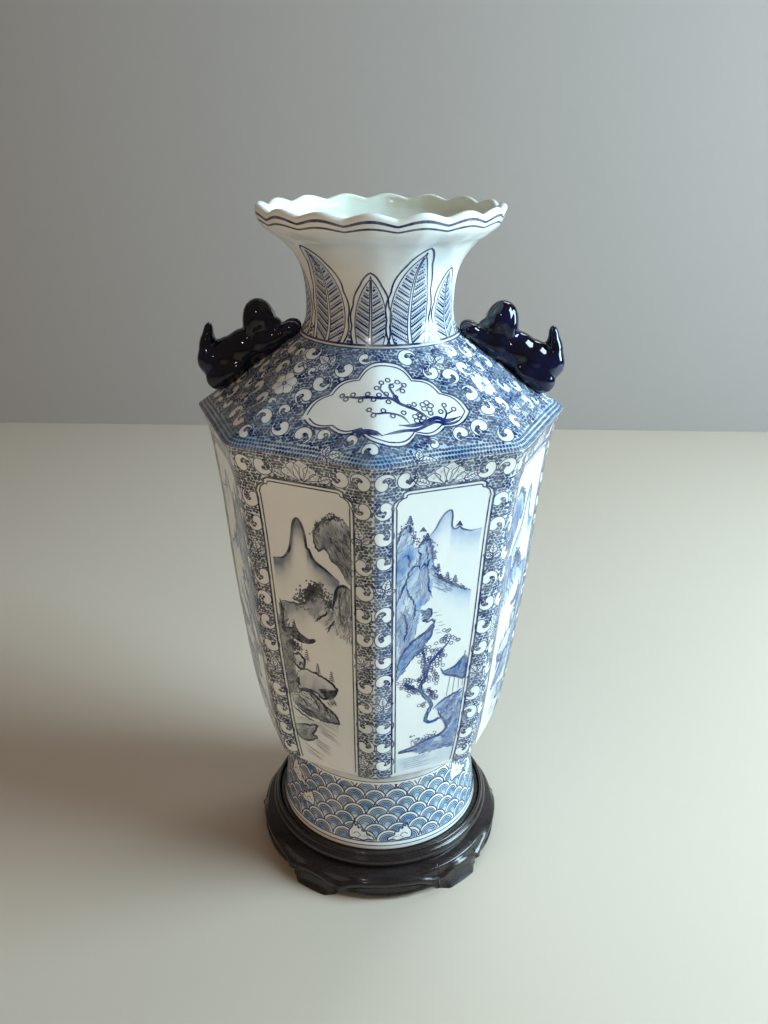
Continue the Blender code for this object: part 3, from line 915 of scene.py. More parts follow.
    p.line([(0.19, 0.640), (0.17, 0.660), (0.19, 0.676)], 0.9)
    for a, b, h in ((0.355, 0.580, 0.044), (0.50, 0.617, 0.040), (0.695, 0.634, 0.040)):
        p.pine(a, b, h)
    p.grass([(0.60, 0.624), (0.77, 0.655)], 0.009, 1.0)
    p.texture([(0.60, 0.705), (0.74, 0.690), (0.72, 0.715), (0.62, 0.722)], 26, -0.9, 4.0, 0.34, 0.8, 0.1)
    p.water(0.42, 0.800, 0.30, 8, 0.022)
    p.water(0.30, 0.872, 0.34, 6, 0.030)
    p.water(0.12, 0.905, 0.32, 6, 0.030)
    p.under([(0.05, 0.80), (0.5, 0.80), (0.75, 0.795)], 0.22, 0.020)


def shore_and_blossom(p):
    """Blue crags at one side, a far peak, a wooded slope, a blossom tree and a pavilion over water."""
    far = [(0.34, 0.142), (0.42, 0.118), (0.48, 0.088), (0.535, 0.070), (0.585, 0.066), (0.607, 0.082),
           (0.612, 0.116), (0.66, 0.126), (0.70, 0.120), (0.74, 0.129), (0.84, 0.138), (0.97, 0.136)]
    p.line(far, 0.54, 0.9)
    p.under(far, 0.42, 0.050)
    p.pine(0.70, 0.120, 0.014)
    crags = [(0.0, 0.150), (0.05, 0.108), (0.13, 0.094), (0.155, 0.125), (0.20, 0.165), (0.25, 0.165),
             (0.28, 0.150), (0.36, 0.148), (0.40, 0.180), (0.42, 0.222), (0.49, 0.262), (0.58, 0.284),
             (0.69, 0.300), (0.80, 0.318), (0.92, 0.330)]
    left = crags[:10] + [(0.43, 0.30), (0.40, 0.34), (0.30, 0.36), (0.26, 0.42), (0.20, 0.50), (0.12, 0.52),
                         (0.0, 0.56)]
    p.wash(left, 0.46, 0.40, 0.6, 0.4)
    p.under(crags[9:], 0.55, 0.040)
    p.line(crags[:4], 0.65)
    p.line(crags[4:10], 0.65)
    p.line(crags[9:], 0.7)
    p.texture(left, 230, 1.15, 5.0, 0.30, 0.8)
    p.texture([(0.42, 0.23), (0.56, 0.29), (0.72, 0.31), (0.60, 0.325), (0.46, 0.30)], 70, -0.65, 4.0, 0.36,
              0.8, 0.2)
    for arch in ([(0.0, 0.335), (0.08, 0.285), (0.15, 0.238), (0.22, 0.222), (0.28, 0.232)],
                 [(0.27, 0.240), (0.29, 0.226), (0.34, 0.222), (0.375, 0.262), (0.39, 0.305), (0.44, 0.335)],
                 [(0.11, 0.275), (0.14, 0.31), (0.21, 0.335), (0.225, 0.37), (0.20, 0.405)],
                 [(0.25, 0.170), (0.27, 0.20), (0.26, 0.235)], [(0.06, 0.19), (0.12, 0.185), (0.15, 0.225)],
                 [(0.04, 0.36), (0.10, 0.38), (0.13, 0.42), (0.10, 0.47)],
                 [(0.33, 0.16), (0.36, 0.20), (0.35, 0.235)]):
        p.line(arch, 0.6)
    p.texture([(0.25, 0.245), (0.36, 0.245), (0.38, 0.33), (0.26, 0.33)], 45, 1.5, 8.0, 0.3, 0.7, 0.1)
    p.texture([(0.02, 0.38), (0.20, 0.38), (0.16, 0.49), (0.03, 0.50)], 90, 1.35, 6.0, 0.5, 0.8, 0.2)
    ledge = [(0.24, 0.366), (0.34, 0.372), (0.42, 0.370), (0.44, 0.392), (0.40, 0.402), (0.33, 0.405),
             (0.40, 0.412), (0.455, 0.408), (0.47, 0.430), (0.40, 0.445), (0.28, 0.458), (0.16, 0.480),
             (0.06, 0.520)]
    p.line(ledge, 0.65)
    p.texture([(0.30, 0.37), (0.44, 0.375), (0.42, 0.40), (0.34, 0.40)], 40, 0.4, 2.6, 0.5)
    frond = [(0.01, 0.600), (0.02, 0.545), (0.08, 0.505), (0.22, 0.470), (0.40, 0.440), (0.47, 0.425),
             (0.44, 0.462), (0.33, 0.500), (0.18, 0.540), (0.08, 0.580)]
    p.wash(frond, 0.7, 0.75, 0.5, 0.5)
    p.line(frond, 0.75)
    p.texture(frond, 110, 0.75, 4.0, 0.34, 0.95, 0.2)
    p.water(0.47, 0.385, 0.10, 7, 0.0, 0.012)
    p.water(0.02, 0.604, 0.14, 5, 0.004)
    for a, b, h in ((0.14, 0.094, 0.026), (0.29, 0.120, 0.012), (0.34, 0.150, 0.022), (0.43, 0.215, 0.026),
                    (0.49, 0.258, 0.028), (0.61, 0.288, 0.026), (0.71, 0.300, 0.024)):
        p.pine(a, b, h)
    p.foliage([(0.03, 0.115), (0.12, 0.098), (0.22, 0.150), (0.30, 0.142), (0.37, 0.150), (0.41, 0.19)], 90,
              0.016, 0.9)
    p.foliage([(0.42, 0.225), (0.52, 0.270), (0.66, 0.295), (0.84, 0.322)], 90, 0.010, 0.9)
    # blossom tree
    trunk = [(0.68, 0.778), (0.60, 0.788), (0.50, 0.786), (0.46, 0.772), (0.50, 0.742), (0.535, 0.722),
             (0.485, 0.700), (0.385, 0.668), (0.345, 0.642), (0.40, 0.620), (0.43, 0.600), (0.44, 0.575),
             (0.50, 0.550), (0.60, 0.522), (0.69, 0.498), (0.725, 0.474)]
    p.line(trunk[:9], 1.4, taper=0.05, colour=(0.22, 0.42, 0.72))
    for off in (-0.016, 0.016):
        p.line([(a + off, b) for a, b in trunk[:10]], 0.55, taper=0.0)
    p.line(trunk[8:], 0.9, taper=0.3, colour=COBALT)
    p.line([(0.40, 0.620), (0.39, 0.560), (0.36, 0.518), (0.30, 0.490)], 0.8)
    p.line([(0.385, 0.668), (0.24, 0.640), (0.08, 0.618)], 0.9)
    p.line([(0.46, 0.700), (0.52, 0.672), (0.45, 0.655)], 0.6)
    p.blossom([(0.38, 0.625), (0.44, 0.580), (0.52, 0.545), (0.62, 0.515), (0.72, 0.474)], 76, 0.020)
    p.blossom([(0.29, 0.488), (0.35, 0.512), (0.40, 0.550), (0.38, 0.60)], 40, 0.012)
    p.blossom([(0.06, 0.614), (0.16, 0.628), (0.34, 0.658)], 42, 0.020)
    p.blossom([(0.44, 0.645), (0.52, 0.675), (0.55, 0.700)], 20, 0.011)
    p.blossom([(0.52, 0.60), (0.57, 0.635)], 12, 0.008)
    p.blossom([(0.38, 0.710), (0.42, 0.720)], 5, 0.006)
    # pavilion
    roof = [(0.620, 0.586), (0.66, 0.600), (0.74, 0.598), (0.83, 0.590), (0.90, 0.572), (0.955, 0.560),
            (0.99, 0.585), (0.985, 0.640), (0.85, 0.628), (0.72, 0.617), (0.655, 0.606)]
    p.wash(roof, 0.95)
    p.texture(roof, 120, 1.1, 2.6, 0.40, 0.95)
    p.line(roof + roof[:1], 0.9)
    p.line([(0.945, 0.575), (0.95, 0.540)], 1.1, smooth=False)
    for a, b, c, d in ((0.775, 0.624, 0.75, 0.700), (0.845, 0.630, 0.84, 0.686), (0.91, 0.636, 0.92, 0.680),
                       (0.965, 0.640, 0.975, 0.670)):
        p.line([(a, b), (c, d)], 0.6, smooth=False)
    hill = [(0.57, 0.738), (0.70, 0.714), (0.83, 0.700), (1.0, 0.680), (1.0, 0.915), (0.81, 0.908),
            (0.62, 0.912), (0.43, 0.912), (0.09, 0.884), (0.25, 0.880), (0.42, 0.866), (0.575, 0.856),
            (0.72, 0.850), (0.82, 0.826), (0.76, 0.793), (0.67, 0.752)]
    p.wash(hill, 0.45, 0.66, 0.6, 0.5)
    p.line(hill[:4], 0.75)
    p.line([(0.64, 0.738), (0.67, 0.764), (0.76, 0.793), (0.82, 0.826), (0.72, 0.850), (0.575, 0.856),
            (0.42, 0.866), (0.25, 0.880), (0.06, 0.888), (0.30, 0.892), (0.50, 0.888)], 1.1)
    p.texture([(0.66, 0.75), (0.80, 0.71), (1.0, 0.69), (1.0, 0.90), (0.76, 0.90), (0.84, 0.83)], 260, 1.0,
              4.0, 0.5, 0.85, 0.3)
    p.line([(0.67, 0.77), (0.78, 0.745), (0.90, 0.715)], 1.6, 0.9, colour=COBALT)
    p.line([(0.83, 0.825), (0.88, 0.79), (0.97, 0.765)], 1.3, 0.9, colour=COBALT)
    p.line([(0.74, 0.855), (0.88, 0.875), (0.98, 0.880)], 1.2, 0.9, colour=COBALT)
    p.texture([(0.20, 0.885), (0.50, 0.872), (0.98, 0.885), (0.98, 0.912), (0.45, 0.915)], 170, 0.4, 4.4,
              0.55, 0.9, 0.2)
    p.foliage([(0.30, 0.868), (0.46, 0.852), (0.62, 0.846)], 46, 0.020, 1.0)
    p.foliage([(0.20, 0.835), (0.26, 0.845), (0.40, 0.850)], 9, 0.020, 1.0)
    p.wash([(0.0, 0.915), (0.40, 0.920), (1.0, 0.912), (1.0, 0.975), (0.50, 0.990), (0.0, 0.985)], 0.26, 0.16)
    p.water(0.08, 0.925, 0.60, 6, 0.0, 0.009)


def panel_outline(grow):
    """The panel's frame with its stepped, rounded top corners; grow widens it."""
    zs = np.linspace(PANEL_LOW - grow * 0.4, PANEL_TOP - 9, 40)
    side = np.stack([half_width(zs) - BORDER + grow, zs], 1)
    w = half_width(PANEL_TOP) - BORDER
    corner = np.array([(w + grow, PANEL_TOP - 7.5), (w - 1.2 + grow, PANEL_TOP - 4.2),
                       (w - 3.8 + grow, PANEL_TOP - 2.2), (w - 5.6 + grow, PANEL_TOP - 1.9),
                       (w - 6.0 + grow, PANEL_TOP - 0.4 + grow * 0.6),
                       (w - 7.6 + grow * 0.5, PANEL_TOP + grow)])
    right = np.vstack([side, corner])
    return np.vstack([right, (right * (-1, 1))[::-1]])


def border_motifs(paint, side, seed):
    """Commas, sprigs and rosettes up one edge of a face."""
    local = np.random.default_rng(seed)
    z, k = 271.5 - 4 * (seed % 2), 0
    while z > 78:
        x = side * (half_width(z) - BORDER * 0.46 + local.normal(0, 0.35))
        if (k + seed) % 5 == 3:
            sprig(paint, (x, z - 4), math.pi / 2 + local.normal(0, 0.3), 1.12)
            z -= 19.5
        else:
            comma(paint, (x, z), local.choice([-0.4, 0.2, 0.7, 2.8]) + local.normal(0, 0.2),
                  0.96 + local.normal(0, 0.04), side if local.random() < 0.6 else -side)
            z -= 16.2
        k += 1


BLUE_INK = (0.006, 0.040, 0.20)


def paint_face(face):
    paint = Paint(body_map(face))
    lively = face % 2 == 0
    # Blossom panels and the two cliff panels on the right get blue ink; the two cliff panels on the left, the
    # shaded side, get grey-black ink, grey wash and black frame and dots: partly the ink's own grey, partly
    # painted shade.
    blue = lively or face in (1, 3)
    ink, tint = (BLUE_INK, MIDBLUE) if blue else (INK, GREYWASH)
    inner, outer = panel_outline(0), panel_outline(2.3)
    paint.kept.append(outer)
    edge = NAVY if blue else INK
    paint.line(outer, 1.20, edge, closed=True, smooth=False)
    paint.line(inner, 0.80, edge, 0.95, closed=True, smooth=False)
    half_peony(paint, (0.0, PANEL_TOP + 3.4), 22.0)
    for s in (-1, 1):
        comma(paint, (s * 23.0, 289.6), 0.3 * s, 0.98, s)
        comma(paint, (s * 35.6, 289.0), 2.4 * s, 0.98, -s)
        border_motifs(paint, s, 3 * face + (s > 0))
    p = dot_field(-45, 45, 68.5, 299.5)
    w = half_width(p[:, 1])
    paint.stipple(p[np.abs(p[:, 0]) < w - 0.2], 1.92, colour=edge)
    x, y = np.meshgrid(np.linspace(-1, 1, 110), np.linspace(68.5, 298, 250))
    x = x * (half_width(y) - 0.3)
    tint_under(paint, x, y, 0.42 if blue else 0.24, face)
    paint.line([(x, 68.6) for x in np.linspace(-31, 31, 30)], 0.45, INK, 0.8, smooth=False)
    mirror = face in (1, 3, 4, 6)
    scene = Panel(paint, mirror, 40 + face, ink, tint)
    (shore_and_blossom if lively else cliffs)(scene)
    scene.finish()
    paint.build(f"painted_face_{face + 1}", PAINTED)


for face in range(8):
    paint_face(face)


# --- shoulder ----------------------------------------------------------------------------------------
def edge_rho(az):
    return EDGE_R * octagon(az) / CONE


def cartouche(grow):
    """Lobed window with four points, 92 by 54 mm."""
    knots = [(-46, 0), (-31, 10.5), (-15, 17), (0, 26), (15, 17), (31, 10.5), (46, 0), (31, -10.5),
             (15, -17), (0, -27), (-15, -17), (-31, -10.5)]
    out = []
    for a, b in zip(knots, knots[1:] + knots[:1]):
        a, b = np.array(a, float), np.array(b, float)
        d = b - a
        n = np.array([-d[1], d[0]]) / np.linalg.norm(d)
        for t in np.linspace(0, 1, 9)[:-1]:
            out.append(a + d * t + n * 3.0 * math.sin(math.pi * t))
    p = np.array(out)
    return p * (0.955 + grow / 38.0, 0.97 + grow / 24.0)


def on_shoulder(pts, az, rho):
    """Moves a drawing with its middle at the origin, +y up the slope, to its place on the shoulder."""
    p = np.asarray(pts, float)
    a = np.radians(az) * CONE
    x, y = p[:, 0], p[:, 1] - rho
    return np.stack([x * math.cos(a) - y * math.sin(a), x * math.sin(a) + y * math.cos(a)], 1)


CARTOUCHE_AZ = 4.6


def prunus(paint, az, rho):
    """Branches with buds and two open blossoms, over a sketched bank."""
    def line(pts, w, c=(0.009, 0.028, 0.17), a=1.0):
        paint.line(on_shoulder(pts, az, rho), w * 1.6, c, a, taper=0.2, lift=0.10)

    bank = [(40, -6), (33, -9), (27, -8.5), (22, -11), (16, -15), (9, -17), (2, -20), (-4, -23)]
    line([(41, -3.5), (33, -7), (27, -6), (20, -10), (13, -13), (6, -14)], 1.5)
    line(bank, 1.1)
    line([(-19, -17.5), (-14, -18.5), (-9, -20), (-3, -22.5)], 1.4)
    line([(-16, -19), (-10, -21.5), (-5, -23)], 0.8)
    main = [(24, -7), (16, -2.5), (8, 0), (2, 3.0), (-4, 2.2), (-11, 3.6), (-17, 5.0), (-24, 8.0)]
    line(main, 1.1)
    line([(8, 0), (4, 6), (2, 11), (5, 14)], 0.8)
    line([(2, 3), (-3, 8), (-2, 12.5)], 0.6)
    line([(5, 8), (9, 12), (8, 15)], 0.5)
    line([(12, -12), (8, -8), (1, -7), (-6, -8.5), (-10, -6)], 0.7)
    line([(31, -7.5), (33, -2), (31, 2)], 0.6)
    line([(33, -3), (37, 0)], 0.5)
    k = np.linspace(0, 2 * math.pi, 13)
    ring = np.stack([np.cos(k), np.sin(k)], 1)
    buds = [(-24, 8), (-22, 5.2), (-18, 7.2), (-14, 2.2), (-10, 5.6), (-7, 1.2), (-4, 4.4), (0, 5.6),
            (1, 0.4), (5, 4.2), (3, 11.6), (6.4, 14.6), (-2.4, 13), (9, 9), (10, 13), (-5, 9.2), (12, -0.6),
            (15, 1.0), (18, -5.8), (-9.6, -5.4), (-7.4, -9.6), (-2, -6), (3, -8.6), (9, -5.4), (32, 2.8),
            (29.8, -1.6), (37.4, 0.8), (24, -3.4), (1.2, 15.2)]
    for b in buds:
        q = np.asarray(b) + ring * 1.25
        paint.line(on_shoulder(q, az, rho), 0.66, NAVY, closed=True, smooth=False, lift=0.11)
    for c in ((17.5, -7.6), (22.0, 0.8)):
        for m in range(5):
            a = 2 * math.pi * m / 5 + 0.3
            q = np.asarray(c) + np.array([math.cos(a), math.sin(a)]) * 2.3 + ring * (1.55, 1.35)
            paint.line(on_shoulder(q, az, rho), 0.60, NAVY, closed=True, smooth=False, lift=0.11)
        paint.marks(on_shoulder(np.asarray(c) + ring[:6] * 0.7, az, rho), 0.9, 0.6, 0.5, NAVY)


def paint_shoulder():
    paint = Paint(shoulder_map)
    rho_mid = 98.5
    for az in (CARTOUCHE_AZ, CARTOUCHE_AZ + 180):
        out, inn = on_shoulder(cartouche(2.4), az, rho_mid), on_shoulder(cartouche(0), az, rho_mid)
        paint.kept.append(out)
        paint.line(out, 1.15, NAVY, closed=True, smooth=False)
        paint.line(inn, 0.72, NAVY, closed=True, smooth=False)
        prunus(paint, az, rho_mid)
    for az, rho, size in ((-44, 94, 1.25), (53, 95, 1.25), (136, 95, 1.25), (-127, 95, 1.25)):
        flower(paint, on_shoulder([(0, 0)], az, rho)[0], size)
    for az, rho, ang in ((-27, 74, 2.6), (33, 74, 0.4), (-14, 132, 0.2), (13, 134, 0.1), (63, 117, 2.9),
                         (-66, 114, 1.0), (156, 74, 2.6), (-148, 73, 0.4), (166, 132, 0.2),
                         (-166, 133, 2.9), (116, 116, 2.0), (-112, 114, 1.0)):
        a = math.radians(az) * CONE
        sprig(paint, on_shoulder([(0, 0)], az, rho)[0], ang + a, 1.15)
    # commas wherever one still fits
    local = np.random.default_rng(31)
    taken = []
    for size in (0.92, 0.80, 0.66, 0.52):
        for _ in range(1700 if size > 0.7 else 1500):
            az = local.uniform(-180, 180)
            rho = local.uniform(64 + 4.2 * size, 139)
            if rho > edge_rho(az) - 8.5 - 4.5 * size:
                continue
            c = on_shoulder([(0, 0)], az, rho)[0]
            if any(np.hypot(*(c - q)) < 6.7 * (size + s) for q, s in taken):
                continue
            k = np.linspace(0, 2 * math.pi, 13)[:-1]
            probe = c + np.stack([np.cos(k), np.sin(k)], 1) * 6.4 * size
            if not paint.clear(np.vstack([probe, c[None]]), 0.3).all():
                continue
            taken.append((c, size))
            comma(paint, c, local.uniform(0, 2 * math.pi), size, local.choice([-1.0, 1.0]))
    p = dot_field(-146, 146, -146, 146, 1.98, 0.24)
    rho = np.hypot(p[:, 0], p[:, 1])
    az = np.degrees(np.arctan2(p[:, 0], -p[:, 1])) / CONE
    ok = (np.abs(az) < 180) & (rho > 62.2) & (rho < edge_rho(az) - 8.4)
    paint.stipple(p[ok], 1.92)
    a, q = np.meshgrid(np.linspace(-math.pi, math.pi, 480) * CONE, np.linspace(0, 1, 50))
    rr = 61.5 + (edge_rho(np.degrees(a) / CONE) - 0.5 - 61.5) * q
    tint_under(paint, rr * np.sin(a), -rr * np.cos(a), 0.56, 3)
    # rows of dashes run down to the edge
    n = 356
    az = np.linspace(-180, 180, n, endpoint=False)
    for row, (off, length) in enumerate(((6.9, 2.0), (4.4, 2.1), (1.8, 2.3))):
        a = az + (0.5 * 360 / n if row % 2 else 0)
        rho = edge_rho(a) - off + local.normal(0, 0.12, n)
        t = np.radians(a) * CONE
        c = np.stack([rho * np.sin(t), -rho * np.cos(t)], 1)
        c = c[paint.clear(c)]
        t = np.arctan2(c[:, 0], -c[:, 1])
        paint.marks(c, length, 1.60, t + math.pi / 2, NAVY, 0.95)
    a = np.linspace(-180, 180, 721)
    t, rho = np.radians(a) * CONE, edge_rho(a) - 0.5
    paint.line(np.stack([rho * np.sin(t), -rho * np.cos(t)], 1), 0.45, NAVY, 0.85, smooth=False)
    paint.line(np.stack([61.4 * np.sin(t), -61.4 * np.cos(t)], 1), 1.0, NAVY, smooth=False)
    paint.build("painted_shoulder", PAINTED)


paint_shoulder()


# --- neck --------------------------------------------------------------------------------------------
def plantain(paint, x, base, tip, width, lean):
    """A banana leaf: scalloped outline, pale margin and midrib, veins filled with rows of short dashes."""
    h = tip - base

    def at(u, v):
        v = np.asarray(v, float)
        return np.stack([x + np.asarray(u, float) * width + lean * v ** 2.0, base + v * h], -1)

    v = np.linspace(0, 1, 45)
    prof = np.sin(math.pi * (0.26 + 0.74 * v)) ** 0.70
    wavy = prof * (1 + 0.085 * np.abs(np.sin(3.5 * math.pi * v + 0.4)))
    paint.keep(np.vstack([at(-wavy, v), at(wavy, v)[::-1][1:]]), 0.95, NAVY)
    rim = 1.9 / width
    inner = (prof - rim).clip(0.02)
    paint.line(np.vstack([at(-inner, v * 0.95), at(inner, v * 0.95)[::-1]]), 0.55, NAVY, smooth=False)
    uu, vv = np.meshgrid(np.linspace(-1, 1, 15), np.linspace(0.0, 0.93, 36))
    fill = at(uu * np.interp(vv, v * 0.95, inner), vv)
    rgba = np.empty(uu.shape + (4,))
    rgba[..., :3] = (0.16, 0.32, 0.62)
    mottle = 0.6 + 0.8 * value_noise(fill[..., 0] + 300, fill[..., 1], 7.0, 2)
    rgba[..., 3] = 0.34 * ramp(np.abs(uu), 0.06, 0.16) * mottle
    paint.grid(fill[..., 0], fill[..., 1], rgba, lift=0.03)
    for s in (-1, 1):
        paint.line(at(s * 0.085 * np.linspace(1, 0.3, 20), np.linspace(0.0, 0.90, 20)), 0.62, NAVY,
                   smooth=False)
    step = 4.1 / h
    for k in range(int(0.92 / step) + 4):
        v0 = (k - 3) * step
        for s in (-1, 1):
            u = np.linspace(0.10, 0.97, 14)
            vv = v0 + u * 0.62 * width / h
            edge = np.interp(vv + 2.0 / h, v * 0.95, prof) - rim - 0.03
            ok = (u < edge) & (vv > 0.005) & (vv < 0.87)
            if ok.sum() > 1:
                paint.line(at(s * u[ok], vv[ok]), 1.0, NAVY, smooth=False)
                qq = at(s * u[ok], vv[ok] + 1.6 / h)
                d = qq[1:] - qq[:-1]
                paint.marks((qq[1:] + qq[:-1]) / 2, np.hypot(*d.T) * 0.72, 0.95,
                            np.arctan2(d[:, 1], d[:, 0]), NAVY)


def paint_neck():
    paint = Paint(neck_map)
    base = 347.4
    for az in (-5.0, 58.0, 134.0, -148.0, -75.0):
        plantain(paint, math.radians(az) * NECK_UNIT, base, 387.0, 11.0, 0.5)
    for az in (23.0, 97.0, 171.0, -112.0, -38.0):
        plantain(paint, math.radians(az) * NECK_UNIT, base, 400.5, 13.2, 5.6 if 0 < az < 180 else -6.4)
    p = dot_field(-141, 141, 348.6, 356.0, 1.95, 0.22)
    paint.stipple(p, 1.6)
    full = np.linspace(-math.pi, math.pi, 900) * NECK_UNIT
    paint.line(np.stack([full, np.full_like(full, 347.3)], 1), 1.1, NAVY, smooth=False)
    for z, w in ((414.0, 1.25), (410.9, 0.95)):
        paint.line(np.stack([full, np.full_like(full, z)], 1), w, NAVY, 0.97, smooth=False)
    paint.build("painted_neck", PAINTED)


paint_neck()


# --- foot: overlapping wave scales -------------------------------------------------------------------
def foam(paint, c, size, flip):
    shape = [(-4.5, -3.2), (-4.9, -0.2), (-3.6, 2.2), (-2.9, 4.9), (-2.2, 2.9), (-1.2, 4.2), (-0.9, 1.9),
             (0.6, 2.6), (0.9, 0.6), (2.6, 0.6), (3.0, -1.0), (5.4, -1.9), (6.0, -3.6), (3.6, -3.2),
             (1.6, -4.0), (-1.6, -3.3)]
    paint.keep(catmull(turned(shape, c, 0, size, flip), 0.6, closed=True)[:-1], 0.85, NAVY)
    paint.line(turned([(-3.2, -1.4), (-1.4, -0.2), (0.2, -1.6), (-1.0, -2.6)], c, 0, size, flip), 0.4, NAVY)
    paint.line(turned([(1.0, -2.0), (2.6, -1.8), (4.0, -2.8)], c, 0, size, flip), 0.3, NAVY)


def paint_foot():
    paint = Paint(foot_map)
    local = np.random.default_rng(12)
    turn = 2 * math.pi * FOOT_UNIT
    count = 29
    pitch = turn / count
    radius, row_h = pitch * 0.54, 6.4
    rows = 7
    for az, z, s, f in ((-9, 13.5, 1.55, 1), (14, 13.0, 1.5, -1), (-58, 38, 1.9, 1), (-46, 26, 1.5, -1),
                        (58, 43, 1.9, 1), (72, 33, 1.6, -1), (100, 14, 1.4, 1), (140, 34, 1.8, -1),
                        (178, 13, 1.4, 1), (-100, 15, 1.4, -1), (-150, 40, 1.8, 1)):
        foam(paint, np.array([math.radians(az) * FOOT_UNIT, z]), s, f)
    centres = {}
    for j in range(rows):
        xs = -turn / 2 + (np.arange(count) + 0.5 * (j % 2)) * pitch
        centres[j] = np.stack([xs + local.normal(0, 0.55, count),
                               7.6 + j * row_h + local.normal(0, 0.40, count),
                               radius * (1 + local.normal(0, 0.05, count))], 1)
    theta = np.linspace(-0.05 * math.pi, 1.05 * math.pi, 25)
    unit = np.stack([np.cos(theta), np.sin(theta) * 0.98], 1)
    for j in range(rows):
        below = centres.get(j - 1, np.empty((0, 3)))
        for c in centres[j]:
            near = below[np.abs((below[:, 0] - c[0] + turn / 2) % turn - turn / 2) < 2.2 * radius]
            for q, w, col, al in ((1.0, 0.95, NAVY, 1.0), (0.74, 0.74, NAVY, 1.0), (0.58, 0.66, NAVY, 1.0),
                                  (0.43, 0.64, NAVY, 1.0), (0.28, 0.62, BLUE_INK, 1.0)):
                p = c[:2] + unit * c[2] * q
                mid = (p[1:] + p[:-1]) / 2
                d = p[1:] - p[:-1]
                ok = paint.clear(mid, 0.1) & (mid[:, 1] > 7.4) & (mid[:, 1] < 51.5)
                for m in near:
                    dx = (mid[:, 0] - m[0] + turn / 2) % turn - turn / 2
                    ok &= np.hypot(dx, mid[:, 1] - m[1]) > m[2]
                if ok.any():
                    paint.marks(mid[ok], np.hypot(*d[ok].T) * 1.25, w, np.arctan2(d[ok, 1], d[ok, 0]), col,
                                al)
    # wash inside each scale, green-blue and paler towards the rim of the scale
    az = np.linspace(-math.pi, math.pi, 520) * FOOT_UNIT
    zz = np.linspace(7.0, 52.0, 56)
    x, z = np.meshgrid(az, zz)
    alpha = np.zeros_like(x)
    for j in range(rows - 1, -1, -1):
        for cx, cz, rad in centres[j]:
            dx = (x - cx + turn / 2) % turn - turn / 2
            r = np.hypot(dx, z - cz) / rad
            alpha = np.where((r < 1) & (z > cz - radius * 0.2), 0.82 * (1 - ramp(r, 0.64, 0.76)), alpha)
    pts = np.stack([x.ravel(), z.ravel()], 1)
    alpha = alpha * paint.clear(pts, 0.1).reshape(x.shape)
    n = value_noise(x + 300, z, 17.0, 5)
    rgba = np.empty(x.shape + (4,))
    green = np.clip(n * 0.8 + 0.55 * np.sin(x / FOOT_UNIT) - 0.1, 0, 1)[..., None]      # greener on one side
    rgba[..., :3] = np.array(TEAL) * green + np.array(MIDBLUE) * (1 - green)
    rgba[..., 3] = alpha * (0.55 + 0.6 * value_noise(x + 300, z, 7.0, 6))
    paint.grid(x, z, rgba)
    for z0, w, a in ((3.6, 0.65, 1.0), (6.6, 0.80, 1.0), (53.2, 0.60, 0.9)):
        paint.line(np.stack([az, np.full_like(az, z0)], 1), w, NAVY, a, smooth=False)
    # painted shade: a grey-blue band round the foot's narrow waist, under the body's overhang
    zz = np.linspace(53.5, 65.0, 14)
    x, z = np.meshgrid(az[::2], zz)
    rgba = np.empty(x.shape + (4,))
    rgba[..., :3] = (0.20, 0.26, 0.36)
    rgba[..., 3] = 0.42 * np.exp(-((z - 57.5) / 4.2) ** 2) * (0.7 + 0.6 * value_noise(x + 300, z, 6.0, 8))
    paint.grid(x, z, rgba)
    paint.build("painted_foot", PAINTED)


paint_foot()


# --- handles: crouching lions facing the neck, tails up ---------------------------------------------
def ball(bm_parts, r, z, y, a, b, c, tilt=0.0):
    """One lump of clay: radial place, height, sideways place; half sizes along radius, height, across."""
    bm_parts.append((r, z, y, a, b, c, tilt))


def lion_lumps():
    p = []
    ball(p, 102.0, 325.0, 0, 10.6, 12.6, 10.8, 25)       # haunches
    ball(p, 98.0, 318.0, 6.5, 10.5, 8.5, 6.0, 33)
    ball(p, 98.0, 318.0, -6.5, 10.5, 8.5, 6.0, 33)
    ball(p, 93.0, 328.5, 0, 15.0, 12.8, 11.0, 30)        # back
    ball(p, 84.0, 333.5, 0, 15.0, 12.5, 11.2, 32)
    ball(p, 71.0, 338.5, 0, 12.5, 11.5, 10.4, 37)        # chest
    ball(p, 78.4, 349.0, 0, 5.6, 13.5, 9.6, 3)           # mane at the back of the head
    ball(p, 73.6, 353.0, 0, 9.6, 11.8, 9.9, 12)          # head
    ball(p, 69.6, 348.0, 0, 8.4, 7.6, 8.8, 20)           # jowls
    ball(p, 64.6, 348.6, 0, 5.2, 4.6, 6.0, 25)           # muzzle
    ball(p, 66.6, 355.0, 3.8, 2.8, 2.4, 2.6, 0)          # brows
    ball(p, 66.6, 355.0, -3.8, 2.8, 2.4, 2.6, 0)
    for y in (4.8, -4.8):
        ball(p, 62.5, 341.5, y, 10.0, 5.6, 4.6, 40)      # forelegs
        ball(p, 54.8, 346.4, y, 6.8, 5.4, 4.8, 25)       # paws
        ball(p, 90.0, 321.5, y * 1.8, 9.5, 5.0, 4.2, 37)    # hind feet
    ball(p, 107.4, 329.0, 0, 6.0, 10.5, 9.0, -14)        # tail, a pointed leaf
    ball(p, 106.9, 336.5, 0, 5.0, 9.0, 7.2, -12)
    ball(p, 105.8, 343.5, 0, 3.3, 6.6, 4.6, -10)
    return p


